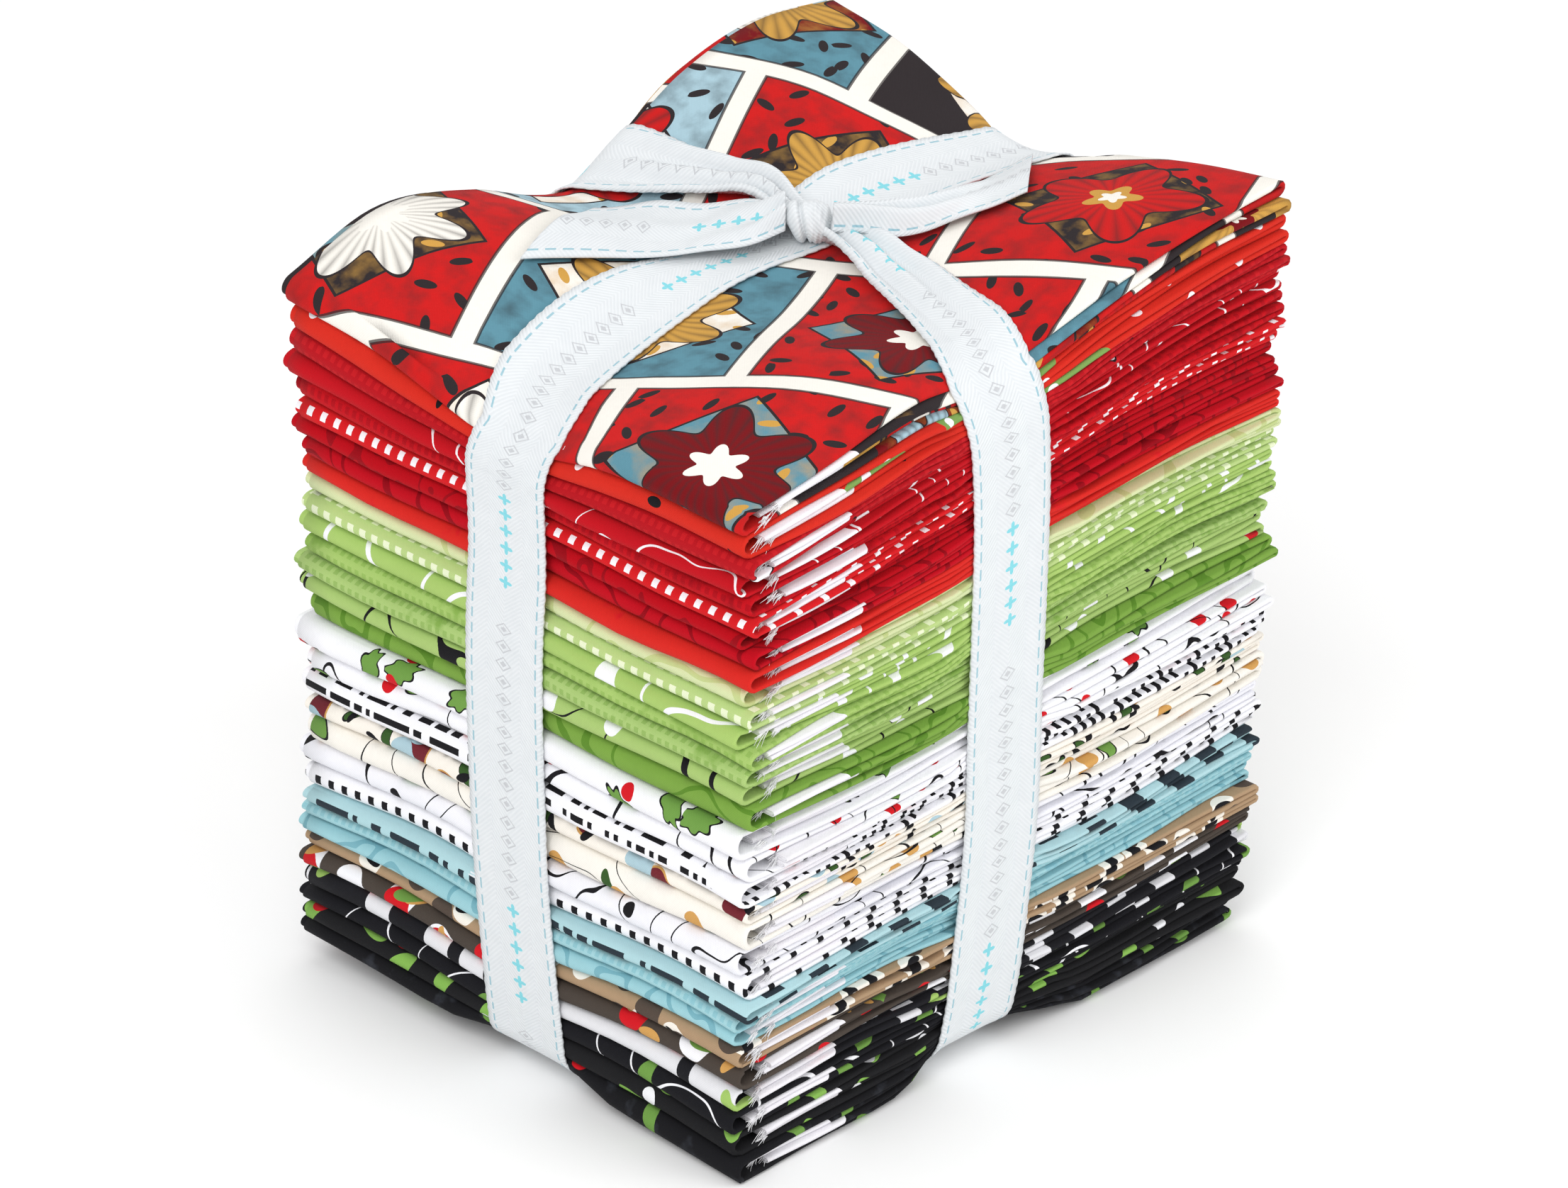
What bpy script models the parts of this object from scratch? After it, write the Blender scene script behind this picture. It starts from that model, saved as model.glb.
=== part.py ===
"""Fat quarter bundle: a stack of folded quilting cottons tied crosswise with one woven tape.

Each fat quarter is folded into a strip four plies thick. The strip's raw ends then meet in the middle and the
strip is folded once more in half, so its section is one back-and-forth ribbon of four layers: the outer turn is
at -X, and the two round far turns are at +X. The section is carried along Y, the stack's short side.

Sizes are in millimetres until a point becomes a vertex. The stack stands on z = 0 with its middle at the origin.
"""

import math
import random

import bmesh
import bpy

MM = 0.001

# The stack: a quarter of 18 by 22 in, folded to 4.5 by 5.5 in
STACK_LENGTH = 139.7
STACK_WIDTH = 114.3
GAP = 0.3
LAYER_GAP = 0.12

# Where the layers bend: the ends of their straight runs and the creases of the pressed-in valleys
OUTER_TURN_X = -66.0
FAR_TURN_X = 68.0
OUTER_TURN_REACH = OUTER_TURN_X + STACK_LENGTH / 2
FAR_TURN_REACH = STACK_LENGTH / 2 - FAR_TURN_X
END_Y = STACK_WIDTH / 2
VALLEY_HALF = 14.0
QUARTER_X = 36.0
QUARTER_Y = 34.0
PAD_X = (24.0, 46.0)
PAD_Y = (24.0, 38.0)

# How far a quarter's folded edges stand out of line with its neighbours' (least, most)
EDGE_SPREAD = (-1.3, 0.5)
MOST_EDGE = EDGE_SPREAD[1]

# The two folds at +X are softer than the one at -X, so the stack fans out towards +X and a little to +Y
FAN_X = 0.05
FAN_Y = 0.012

# Rise of the top surface over its plane, pressed in by the tape: rows run from -Y to +Y, columns from -X to +X
TOP_RISE = (
    (0.6, 3.6, 2.3, 6.6, 8.5),
    (0.6, 4.0, 1.0, 6.3, 3.8),
    (-2.2, -1.2, -2.0, -0.5, -3.8),
    (1.5, 5.5, -1.5, 5.0, 2.0),
    (5.0, 8.5, -2.5, 8.8, 6.5),
)
TOP_CREASES_X = (OUTER_TURN_X, -QUARTER_X, -VALLEY_HALF, VALLEY_HALF, QUARTER_X, FAR_TURN_X)
TOP_CREASES_Y = (-END_Y, -QUARTER_Y, -VALLEY_HALF, VALLEY_HALF, QUARTER_Y, END_Y)

# Rise of the underside: the tape's valley, and the edges that curl up off the four flat pads
VALLEY_RISE = 3.2
CORNER_RISE_NEAR = 1.5
CORNER_RISE_LEFT = 5.0
CORNER_RISE_RIGHT = 4.0
CORNER_RISE_FAR = 4.5
BOTTOM_CREASES_X = (OUTER_TURN_X, -PAD_X[1], -PAD_X[0], -VALLEY_HALF, VALLEY_HALF, *PAD_X, FAR_TURN_X)
BOTTOM_CREASES_Y = (-END_Y, -PAD_Y[1], -PAD_Y[0], -VALLEY_HALF, VALLEY_HALF, *PAD_Y, END_Y)

# The quarters from the bottom up: thickness with the gap over it, and colour
RED = (0.50, 0.008, 0.016)
BRIGHT_RED = (0.72, 0.03, 0.02)
CREAM = (0.72, 0.66, 0.56)
WHITE = (0.78, 0.78, 0.80)
DARK_GREEN = (0.09, 0.24, 0.03)
GREEN = (0.25, 0.45, 0.10)
LIME = (0.40, 0.62, 0.14)
CELERY = (0.60, 0.70, 0.30)
AQUA = (0.21, 0.50, 0.54)
BROWN = (0.13, 0.09, 0.07)
TAN = (0.60, 0.30, 0.10)
BLACK = (0.013, 0.013, 0.015)
QUARTERS = (
    (5.3, BLACK),
    (5.1, BLACK),
    (5.0, BLACK),
    (4.8, BLACK),
    (4.2, BROWN),
    (4.1, TAN),
    (3.8, AQUA),
    (3.5, AQUA),
    (3.5, AQUA),
    (4.9, WHITE),
    (5.3, WHITE),
    (6.0, WHITE),
    (4.0, TAN),
    (5.2, WHITE),
    (4.8, WHITE),
    (5.7, WHITE),
    (5.1, DARK_GREEN),
    (4.4, GREEN),
    (4.0, GREEN),
    (3.9, LIME),
    (4.3, LIME),
    (3.9, LIME),
    (4.1, CELERY),
    (4.1, BRIGHT_RED),
    (4.3, RED),
    (3.6, RED),
    (3.6, RED),
    (4.0, RED),
    (3.6, RED),
    (4.0, BRIGHT_RED),
    (4.4, DARK_GREEN),
    (4.4, CREAM),
)
STACK_HEIGHT = sum(pitch for pitch, _ in QUARTERS)
BOTTOM_QUARTERS = 3
TOP_QUARTERS = 7
BOTTOM_REACH = sum(pitch for pitch, _ in QUARTERS[:BOTTOM_QUARTERS])
TOP_REACH = sum(pitch for pitch, _ in QUARTERS[-TOP_QUARTERS:])
OUTER_TURN_STEPS = 5
FAR_TURN_STEPS = 2

# The tape: woven twill, two bands that cross, a knot and two free ends
TAPE_HALF_WIDTH = 10.0
TAPE_THICKNESS = 1.0
TAPE_COLOUR = (0.82, 0.86, 0.87)
CORNER_STEPS = 3
GATHERED_HALF_WIDTH = 5.0

# Sideways places of the bands' middles, on the way round: the pull of the knot slants them
LONG_BAND_Y = {"left_top": 2.0, "middle_top": 3.0, "right_top": 4.0, "right_foot": 0.0, "left_foot": -3.0}
CROSS_BAND_X = {"near_top": -2.0, "middle_top": 2.0, "far_top": 1.0, "far_foot": 0.0, "near_foot": -3.0}

# The knot is two wraps of gathered tape; its base sits on the cross band
KNOT_X = 3.0
KNOT_Y = 4.0
KNOT_SEAT = 2 * (TAPE_THICKNESS + GAP) + GAP
KNOT_RADII = (5.5, 6.5, 6.5)
KNOT_GROOVE_X = -1.8
KNOT_GROOVE_WIDTH = 1.2
KNOT_GROOVE_DEPTH = 0.16
KNOT_SIDES = 14
KNOT_RINGS = 6

# The tails: start, end, half widths there, and clearance over the cloth along the way
TAIL_STEPS = 8
TAIL_LEFT = {
    "start": (-3.6, 9.4),
    "end": (-22.0, 38.5),
    "half_widths": (4.5, 10.5),
    "lifts": (3.6, 2.0),
    "slant": 8.0,
}
TAIL_RIGHT = {
    "start": (10.6, 3.0),
    "end": (53.0, -7.0),
    "half_widths": (2.5, 9.5),
    "lifts": (1.9, 2.6),
    "slant": -3.0,
}


def clear_scene():
    for old in list(bpy.data.objects):
        bpy.data.objects.remove(old, do_unlink=True)


def fabric(name, colour):
    material = bpy.data.materials.new(name)
    material.use_nodes = True
    shader = material.node_tree.nodes["Principled BSDF"]
    shader.inputs["Base Color"].default_value = (*colour, 1.0)
    shader.inputs["Roughness"].default_value = 0.9
    shader.inputs["Metallic"].default_value = 0.0
    return material


def add_object(name, bm, colour):
    """Makes the mesh one object with its own material. Its faces all wind the same way; here they turn out."""
    if bm.calc_volume(signed=True) < 0:
        bmesh.ops.reverse_faces(bm, faces=bm.faces)
    mesh = bpy.data.meshes.new(name)
    bm.to_mesh(mesh)
    bm.free()
    mesh.materials.append(fabric(name, colour))
    obj = bpy.data.objects.new(name, mesh)
    bpy.context.scene.collection.objects.link(obj)
    return obj


def clamp(value, low=0.0, high=1.0):
    return min(max(value, low), high)


def mix(a, b, share):
    return a + (b - a) * share


def cell_of(creases, value):
    """The crease cell that holds the value, and its place there, which runs past 0 or 1 outside the creases."""
    last = len(creases) - 2
    index = next((i for i in range(last) if value < creases[i + 1]), last)
    return index, (value - creases[index]) / (creases[index + 1] - creases[index])


def table_value(table, creases_x, creases_y, x, y):
    """The value between a table's creases, straight along x and along y."""
    i, share_x = cell_of(creases_x, x)
    j, share_y = cell_of(creases_y, y)
    near = mix(table[j][i], table[j][i + 1], share_x)
    far = mix(table[j + 1][i], table[j + 1][i + 1], share_x)
    return mix(near, far, share_y)


def doubled_middle(row):
    """The valley's flat floor has a crease on each side, at the same height."""
    return (*row[:3], *row[2:])


def underside_rise(x, y):
    """Rise of the underside at a crease crossing: the deeper of the valley and the curled edge."""
    in_valley = max(clamp((PAD_X[0] - abs(x)) / (PAD_X[0] - VALLEY_HALF)),
                    clamp((PAD_Y[0] - abs(y)) / (PAD_Y[0] - VALLEY_HALF)))
    at_edge = max(clamp((abs(x) - PAD_X[1]) / (-OUTER_TURN_X - PAD_X[1])),
                  clamp((abs(y) - PAD_Y[1]) / (END_Y - PAD_Y[1])))
    along_x = clamp(x / STACK_LENGTH + 0.5)
    near = mix(CORNER_RISE_NEAR, CORNER_RISE_RIGHT, along_x)
    far = mix(CORNER_RISE_LEFT, CORNER_RISE_FAR, along_x)
    corner_rise = mix(near, far, clamp(y / STACK_WIDTH + 0.5))
    return max(VALLEY_RISE * in_valley, corner_rise * at_edge)


TOP_TABLE = tuple(doubled_middle(row) for row in doubled_middle(TOP_RISE))
BOTTOM_TABLE = tuple(tuple(underside_rise(x, y) for x in BOTTOM_CREASES_X) for y in BOTTOM_CREASES_Y)


def settled(x, y, z):
    """Moves a point of the square stack up or down to where the tape and the soft folds leave it."""
    near_top = clamp(1 - (STACK_HEIGHT - z) / TOP_REACH)
    near_bottom = clamp(1 - z / BOTTOM_REACH)
    height = z
    height += near_top * table_value(TOP_TABLE, TOP_CREASES_X, TOP_CREASES_Y, x, y)
    height += near_bottom * table_value(BOTTOM_TABLE, BOTTOM_CREASES_X, BOTTOM_CREASES_Y, x, y)
    fan = 1 + FAN_X * x / (STACK_LENGTH / 2) + FAN_Y * y / END_Y
    return x, y, height * fan


def vertex(bm, point):
    return bm.verts.new([size * MM for size in point])


def add_split_quad(bm, corners):
    """Adds a four-cornered face as two triangles. The cut misses the corner that lies farthest out, so it runs
    the same way in every layer of the stack and the thin gaps between layers stay open."""
    outermost = max(range(4), key=lambda i: abs(corners[i].co.x) + 1.01 * abs(corners[i].co.y))
    ring = [corners[(outermost + step) % 4] for step in range(4)]
    bm.faces.new((ring[0], ring[1], ring[3]))
    bm.faces.new((ring[1], ring[2], ring[3]))


def close_grid(bm, inner, outer, ring=False):
    """Joins two grids of vertices, one per face of a sheet, into one closed sheet. Each grid is rows of
    vertices; in a ring the last row meets the first."""
    rows = len(inner)
    columns = len(inner[0])
    for row in range(rows if ring else rows - 1):
        after = (row + 1) % rows
        for column in range(columns - 1):
            beside = column + 1
            add_split_quad(bm, (outer[row][column], outer[after][column], outer[after][beside], outer[row][beside]))
            add_split_quad(bm, (inner[row][column], inner[row][beside], inner[after][beside], inner[after][column]))
        add_split_quad(bm, (inner[row][0], inner[after][0], outer[after][0], outer[row][0]))
        add_split_quad(bm, (inner[row][-1], outer[row][-1], outer[after][-1], inner[after][-1]))
    if ring:
        return
    for column in range(columns - 1):
        beside = column + 1
        add_split_quad(bm, (inner[0][column], outer[0][column], outer[0][beside], inner[0][beside]))
        add_split_quad(bm, (inner[-1][column], inner[-1][beside], outer[-1][beside], outer[-1][column]))


def straight_run(xs, height, half):
    """A flat layer: pairs of points on its two faces, the first on its left as it runs."""
    side = 1 if xs[-1] > xs[0] else -1
    return [((x, height + side * half), (x, height - side * half)) for x in xs]


def turn(centre, reach, rise, half, steps, start_angle, end_angle):
    """Half an ellipse to the left round the centre, as pairs of points on the layer's two faces, left first,
    without its ends."""
    pairs = []
    for step in range(1, steps):
        angle = math.radians(mix(start_angle, end_angle, step / steps))
        pairs.append(tuple((centre[0] + (reach + offset) * math.cos(angle),
                            centre[1] + (rise + offset) * math.sin(angle)) for offset in (-half, half)))
    return pairs


def folded_section(bottom, thickness, creases, outer_edge, far_edge):
    """The strip's back-and-forth section from one raw end to the other."""
    layer = (thickness - 3 * LAYER_GAP) / 4
    half = layer / 2
    heights = [bottom + half + index * (layer + LAYER_GAP) for index in range(4)]
    forth = creases
    back = creases[::-1]
    far_reach = FAR_TURN_REACH + far_edge - half
    far_rise = (layer + LAYER_GAP) / 2
    outer_reach = OUTER_TURN_REACH + outer_edge - half
    outer_rise = (thickness - layer) / 2
    section = straight_run(forth, heights[2], half)
    section += turn((FAR_TURN_X, (heights[2] + heights[3]) / 2), far_reach, far_rise, half,
                    FAR_TURN_STEPS, -90, 90)
    section += straight_run(back, heights[3], half)
    section += turn((OUTER_TURN_X, bottom + thickness / 2), outer_reach, outer_rise, half,
                    OUTER_TURN_STEPS, 90, 270)
    section += straight_run(forth, heights[0], half)
    section += turn((FAR_TURN_X, (heights[0] + heights[1]) / 2), far_reach, far_rise, half,
                    FAR_TURN_STEPS, -90, 90)
    section += straight_run(back, heights[1], half)
    return section


def add_quarter(number, bottom, thickness, colour, edges, creases_x, creases_y):
    """Carries one quarter's section along Y, settled as it lies in the tied stack."""
    near, far, outer, across = edges
    section = folded_section(bottom, thickness, creases_x, outer, across)
    slices = (creases_y[0] - near, *creases_y[1:-1], creases_y[-1] + far)
    bm = bmesh.new()
    grids = [[[vertex(bm, settled(pair[face][0], y, pair[face][1])) for y in slices] for pair in section]
             for face in range(2)]
    close_grid(bm, *grids)
    return add_object(f"quarter_{number:02d}", bm, colour)


def add_stack():
    """The quarters, numbered from the top down. The pieces near the top and the bottom have the creases of the
    valleys there; those between lie flat."""
    edges_of = random.Random(18)
    count = len(QUARTERS)
    plain_x = (OUTER_TURN_X, 0.0, FAR_TURN_X)
    plain_y = (-END_Y, 0.0, END_Y)
    bottom = 0.0
    for index, (pitch, colour) in enumerate(QUARTERS):
        creases_x, creases_y = plain_x, plain_y
        if index < BOTTOM_QUARTERS:
            creases_x, creases_y = BOTTOM_CREASES_X, BOTTOM_CREASES_Y
        if index >= count - TOP_QUARTERS:
            creases_x, creases_y = TOP_CREASES_X, TOP_CREASES_Y
        edges = [edges_of.uniform(*EDGE_SPREAD) for _ in range(3)]
        edges.append(edges_of.uniform(0.0, MOST_EDGE))
        add_quarter(count - index, bottom, pitch - GAP, colour, edges, creases_x, creases_y)
        bottom += pitch


def corner_arc(centre, radii, start_angle):
    """A quarter turn of the tape round an edge of the stack: pairs of points on its inner and outer faces."""
    pairs = []
    for step in range(CORNER_STEPS + 1):
        angle = math.radians(start_angle + 90 * step / CORNER_STEPS)
        pairs.append(tuple((centre[0] + (radii[0] + offset) * math.cos(angle),
                            centre[1] + (radii[1] + offset) * math.sin(angle))
                           for offset in (GAP, GAP + TAPE_THICKNESS)))
    return pairs


def flat_run(places, height, over):
    """The tape along the top, over = 1, or the underside, over = -1. A lift, given with each place, takes it
    past the other band."""
    return [((place, height + over * (GAP + lift)), (place, height + over * (GAP + TAPE_THICKNESS + lift)))
            for place, lift in places]


def side_run(place, out, heights):
    """The tape down or up one side of the stack, where the places of its creases are."""
    return [((place + out * GAP, height), (place + out * (GAP + TAPE_THICKNESS), height)) for height in heights]


def band_path(low_edge, high_edge, top_places, bottom_places, low_turns):
    """One closed loop round the stack, from the middle of the top over the low edge and back. low_turns are
    the radii of the folds at the low edge, top and bottom; the high edge is sharp."""
    top_turn, foot_turn = low_turns
    crossing = [STACK_HEIGHT - TOP_REACH, BOTTOM_REACH]
    path = flat_run([place for place in reversed(top_places) if place[0] <= 0], STACK_HEIGHT, 1)
    path += corner_arc((low_edge + top_turn[0], STACK_HEIGHT - top_turn[1]), top_turn, 90)
    path += side_run(low_edge, -1, crossing)
    path += corner_arc((low_edge + foot_turn[0], foot_turn[1]), foot_turn, 180)
    path += flat_run(bottom_places, 0.0, -1)
    path += corner_arc((high_edge, 0.0), (0.0, 0.0), 270)
    path += side_run(high_edge, 1, crossing[::-1])
    path += corner_arc((high_edge, STACK_HEIGHT), (0.0, 0.0), 0)
    path += flat_run([place for place in reversed(top_places) if place[0] > 0], STACK_HEIGHT, 1)
    return path


def sideways(middles, low, high, place, height):
    """The band's sideways middle: straight between its named places on the top, the sides and the underside."""
    left_top, middle_top, right_top, right_foot, left_foot = middles.values()
    along = clamp((place - low) / (high - low))
    up = clamp(height / STACK_HEIGHT)
    if along < 0.5:
        top = mix(left_top, middle_top, along * 2)
    else:
        top = mix(middle_top, right_top, along * 2 - 1)
    return mix(mix(left_foot, right_foot, along), top, up)


def add_tape_long():
    """The band along X. It lies flat on the cloth all the way round, under the cross band."""
    low = -STACK_LENGTH / 2 - MOST_EDGE
    high = STACK_LENGTH / 2 + MOST_EDGE
    fold_reach = OUTER_TURN_X - low
    turns = [(fold_reach, (QUARTERS[index][0] - GAP) / 2) for index in (-1, 0)]
    path = band_path(low, high, [(x, 0.0) for x in TOP_CREASES_X], [(x, 0.0) for x in BOTTOM_CREASES_X], turns)
    bm = bmesh.new()
    grids = []
    for face in range(2):
        rows = []
        for pair in path:
            x, z = pair[face]
            middle = sideways(LONG_BAND_Y, low, high, x, z)
            rows.append([vertex(bm, settled(x, middle + side, z)) for side in (-TAPE_HALF_WIDTH, TAPE_HALF_WIDTH)])
        grids.append(rows)
    close_grid(bm, *grids, ring=True)
    add_object("tape_long", bm, TAPE_COLOUR)


def add_tape_cross():
    """The band along Y. It steps over the long band at the middle of the top, where the knot gathers it, and
    under that band at the middle of the underside."""
    low = -END_Y - MOST_EDGE
    high = END_Y + MOST_EDGE
    step = TAPE_THICKNESS + GAP
    top_places = [(y, step if abs(y) <= VALLEY_HALF else 0.0) for y in TOP_CREASES_Y]
    bottom_places = [(y, step if abs(y) <= VALLEY_HALF else 0.0) for y in BOTTOM_CREASES_Y]
    path = band_path(low, high, top_places, bottom_places, [(0.0, 0.0), (0.0, 0.0)])
    bm = bmesh.new()
    grids = []
    for face in range(2):
        rows = []
        for pair in path:
            y, z = pair[face]
            middle = sideways(CROSS_BAND_X, low, high, y, z)
            gathered = abs(y) <= VALLEY_HALF and z > STACK_HEIGHT / 2
            half = GATHERED_HALF_WIDTH if gathered else TAPE_HALF_WIDTH
            rows.append([vertex(bm, settled(middle + side, y, z)) for side in (half, -half)])
        grids.append(rows)
    close_grid(bm, *grids, ring=True)
    add_object("tape_cross", bm, TAPE_COLOUR)


def add_knot():
    """Half an ellipsoid with a flat base along the cross band, with the groove between its two wraps."""
    seat = STACK_HEIGHT + KNOT_SEAT
    bm = bmesh.new()
    rings = []
    for ring in range(KNOT_RINGS):
        tilt = math.radians(90 * ring / KNOT_RINGS)
        points = []
        for side in range(KNOT_SIDES):
            angle = 2 * math.pi * side / KNOT_SIDES
            across = KNOT_RADII[0] * math.cos(angle) * math.cos(tilt)
            offset = (across - KNOT_GROOVE_X) / KNOT_GROOVE_WIDTH
            shrink = 1 - KNOT_GROOVE_DEPTH * math.exp(-offset * offset)
            along = KNOT_RADII[1] * math.sin(angle) * math.cos(tilt) * shrink
            up = KNOT_RADII[2] * math.sin(tilt) * shrink
            x, y, base = settled(KNOT_X + across, KNOT_Y + along, seat)
            points.append(vertex(bm, (x, y, base + up)))
        rings.append(points)
    x, y, base = settled(KNOT_X, KNOT_Y, seat)
    crown = vertex(bm, (x, y, base + KNOT_RADII[2]))
    bm.faces.new(rings[0][::-1])
    for lower, upper in zip(rings, rings[1:]):
        for side in range(KNOT_SIDES):
            after = (side + 1) % KNOT_SIDES
            bm.faces.new((lower[side], lower[after], upper[after], upper[side]))
    for side in range(KNOT_SIDES):
        bm.faces.new((rings[-1][side], rings[-1][(side + 1) % KNOT_SIDES], crown))
    add_object("tape_knot", bm, TAPE_COLOUR)


def add_tail(name, start, end, half_widths, lifts, slant):
    """A free end of the tape: it widens away from the knot and lies over the cloth. The slant moves one corner
    of its cut end on and the other back."""
    length = math.dist(start, end)
    ahead = ((end[0] - start[0]) / length, (end[1] - start[1]) / length)
    aside = (-ahead[1], ahead[0])
    bm = bmesh.new()
    grids = []
    for thickness in (0.0, TAPE_THICKNESS):
        rows = []
        for step in range(TAIL_STEPS + 1):
            share = step / TAIL_STEPS
            half = mix(*half_widths, math.sqrt(share))
            row = []
            for side in (-1, 0, 1):
                run = length * share + side * slant * share
                x = start[0] + ahead[0] * run + aside[0] * side * half
                y = start[1] + ahead[1] * run + aside[1] * side * half
                cloth = settled(x, y, STACK_HEIGHT)[2]
                row.append(vertex(bm, (x, y, cloth + mix(*lifts, share) + thickness)))
            rows.append(row)
        grids.append(rows)
    close_grid(bm, *grids)
    add_object(name, bm, TAPE_COLOUR)


clear_scene()
add_stack()
add_tape_long()
add_tape_cross()
add_knot()
add_tail("tape_tail_left", **TAIL_LEFT)
add_tail("tape_tail_right", **TAIL_RIGHT)
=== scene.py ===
"""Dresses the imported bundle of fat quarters: each cut of cotton as one folded sheet, and the tape round them.

Lengths are in millimetres until a mesh is made. X runs along the fold's long side, Y along its short side and
Z up. The single outer folds are at -X and the layers' edges show at -Y.
"""

import inspect
import logging
import math
from dataclasses import dataclass, field
from enum import Enum
from typing import Callable

import bmesh
import bpy
import numpy as np
from mathutils import Matrix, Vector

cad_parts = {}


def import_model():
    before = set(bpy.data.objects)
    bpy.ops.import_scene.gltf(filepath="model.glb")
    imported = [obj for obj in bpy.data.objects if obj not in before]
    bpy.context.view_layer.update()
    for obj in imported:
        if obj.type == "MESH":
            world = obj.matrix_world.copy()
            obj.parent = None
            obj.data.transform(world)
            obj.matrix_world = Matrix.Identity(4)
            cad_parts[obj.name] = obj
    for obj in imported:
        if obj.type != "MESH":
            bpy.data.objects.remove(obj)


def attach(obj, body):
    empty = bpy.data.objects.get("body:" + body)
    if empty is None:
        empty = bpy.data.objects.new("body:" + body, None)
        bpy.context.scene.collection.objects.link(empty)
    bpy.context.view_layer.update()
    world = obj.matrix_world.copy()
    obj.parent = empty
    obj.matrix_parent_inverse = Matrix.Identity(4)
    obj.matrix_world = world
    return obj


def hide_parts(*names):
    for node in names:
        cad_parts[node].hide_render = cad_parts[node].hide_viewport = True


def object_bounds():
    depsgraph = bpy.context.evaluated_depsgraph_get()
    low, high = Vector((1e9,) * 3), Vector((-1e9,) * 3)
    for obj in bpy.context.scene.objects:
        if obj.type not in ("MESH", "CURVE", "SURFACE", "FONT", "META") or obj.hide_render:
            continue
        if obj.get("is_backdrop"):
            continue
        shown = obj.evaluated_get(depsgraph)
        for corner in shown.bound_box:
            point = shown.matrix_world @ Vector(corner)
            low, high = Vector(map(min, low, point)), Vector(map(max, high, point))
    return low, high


Array = np.ndarray
Colour = tuple[float, float, float, float]

LOG = logging.getLogger("fat_quarter_bundle")
MM = 0.001
TURN = 2 * math.pi
VECTORS = ("place", "local", "square")


def paint(red: int, green: int, blue: int) -> Colour:
    """Turns a screen colour of 0 to 255 a channel into the linear colour that a shader takes.

    Args:
        red, green, blue: The screen colour.

    Returns:
        Linear red, green and blue, and an alpha of 1.
    """
    share = np.array((red, green, blue)) / 255
    linear = np.where(share <= 0.04045, share / 12.92, ((share + 0.055) / 1.055) ** 2.4)
    return (*(float(value) for value in linear), 1.0)


def blend_colour(one: Colour, other: Colour, share: float) -> Colour:
    """The colour that lies the given share of the way from one to the other."""
    return tuple(a + (b - a) * share for a, b in zip(one, other))


def ease(value: Array) -> Array:
    """Rises smoothly from 0 to 1 as the value does: 3t² - 2t³."""
    share = np.clip(value, 0.0, 1.0)
    return share * share * (3 - 2 * share)


def bump(value: Array, power: int) -> Array:
    """A flat-topped bump round zero that has fallen to a third at 1: exp(-|v| ** power)."""
    return np.exp(-(np.abs(value) ** power))


@dataclass(frozen=True)
class Wander:
    """A smooth random field: the sum of plane waves whose directions and phases come from a seed."""

    seed: int
    lengths: tuple[float, ...]
    size: float
    waves: int = 7

    def at(self, *places: Array) -> Array:
        """Reads the field: size · √(2 / waves) · Σ sin(2π · (direction · place) + phase).

        Args:
            places: One array per axis, in the units of the lengths.

        Returns:
            Values of about plus or minus the size, in the arrays' joint shape.
        """
        chance = np.random.default_rng(self.seed)
        total = np.zeros(np.broadcast(*places).shape) if len(places) > 1 else np.zeros(np.shape(places[0]))
        for _ in range(self.waves):
            turns = chance.normal(0.0, 0.75, len(self.lengths)) / np.array(self.lengths)
            phase = chance.uniform(0.0, 2 * math.pi)
            total = total + np.sin(2 * math.pi * sum(t * p for t, p in zip(turns, places)) + phase)
        return self.size * math.sqrt(2 / self.waves) * total


def curve_weights(knots: tuple[float, ...], places: Array) -> Array:
    """Weights of the knots' values in the smooth curve that runs through them.

    Between two knots the curve is the cubic with the knots' slopes, and a slope is that of the chord between
    the knot's two neighbours. Past the ends it stays at the end's value.

    Args:
        knots: Places of the knots, rising.
        places: Where the curve is read.

    Returns:
        One row of weights per place.
    """
    at = np.clip(places.ravel(), knots[0], knots[-1])
    line = np.array(knots)
    unit = np.eye(len(line))
    slopes = np.gradient(unit, line, axis=0)
    cell = np.clip(np.searchsorted(line, at, side="right") - 1, 0, len(line) - 2)
    width = (line[cell + 1] - line[cell])[:, None]
    share = ((at - line[cell])[:, None]) / width
    return (
        (1 + 2 * share) * (1 - share) ** 2 * unit[cell]
        + share * (1 - share) ** 2 * width * slopes[cell]
        + share**2 * (3 - 2 * share) * unit[cell + 1]
        + share**2 * (share - 1) * width * slopes[cell + 1]
    )


def smooth_through(knots: tuple[float, ...], values: tuple[float, ...], places: Array) -> Array:
    """The smooth curve through the knots' values, read at the places."""
    return (curve_weights(knots, places) @ np.array(values)).reshape(np.shape(places))


@dataclass(frozen=True)
class Relief:
    """A smooth surface through a small table of rises, rows along Y and columns along X."""

    creases_x: tuple[float, ...]
    creases_y: tuple[float, ...]
    table: tuple[tuple[float, ...], ...]

    def rise(self, x: Array, y: Array) -> Array:
        """Reads the surface: Σ weight_y · table · weight_x, in the arrays' joint shape."""
        x, y = np.broadcast_arrays(x, y)
        across = curve_weights(self.creases_x, x)
        along = curve_weights(self.creases_y, y)
        return np.einsum("nj,ji,ni->n", along, np.array(self.table), across).reshape(x.shape)


PITCHES = (
    4.4, 4.4, 4.0, 3.6, 4.0, 3.6, 3.6, 4.3, 4.1, 4.1, 3.9, 4.3, 3.9, 4.0, 4.4, 5.1,
    5.7, 4.8, 5.2, 4.0, 6.0, 5.3, 4.9, 3.5, 3.5, 3.8, 4.1, 4.2, 4.8, 5.0, 5.1, 5.3,
)


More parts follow.
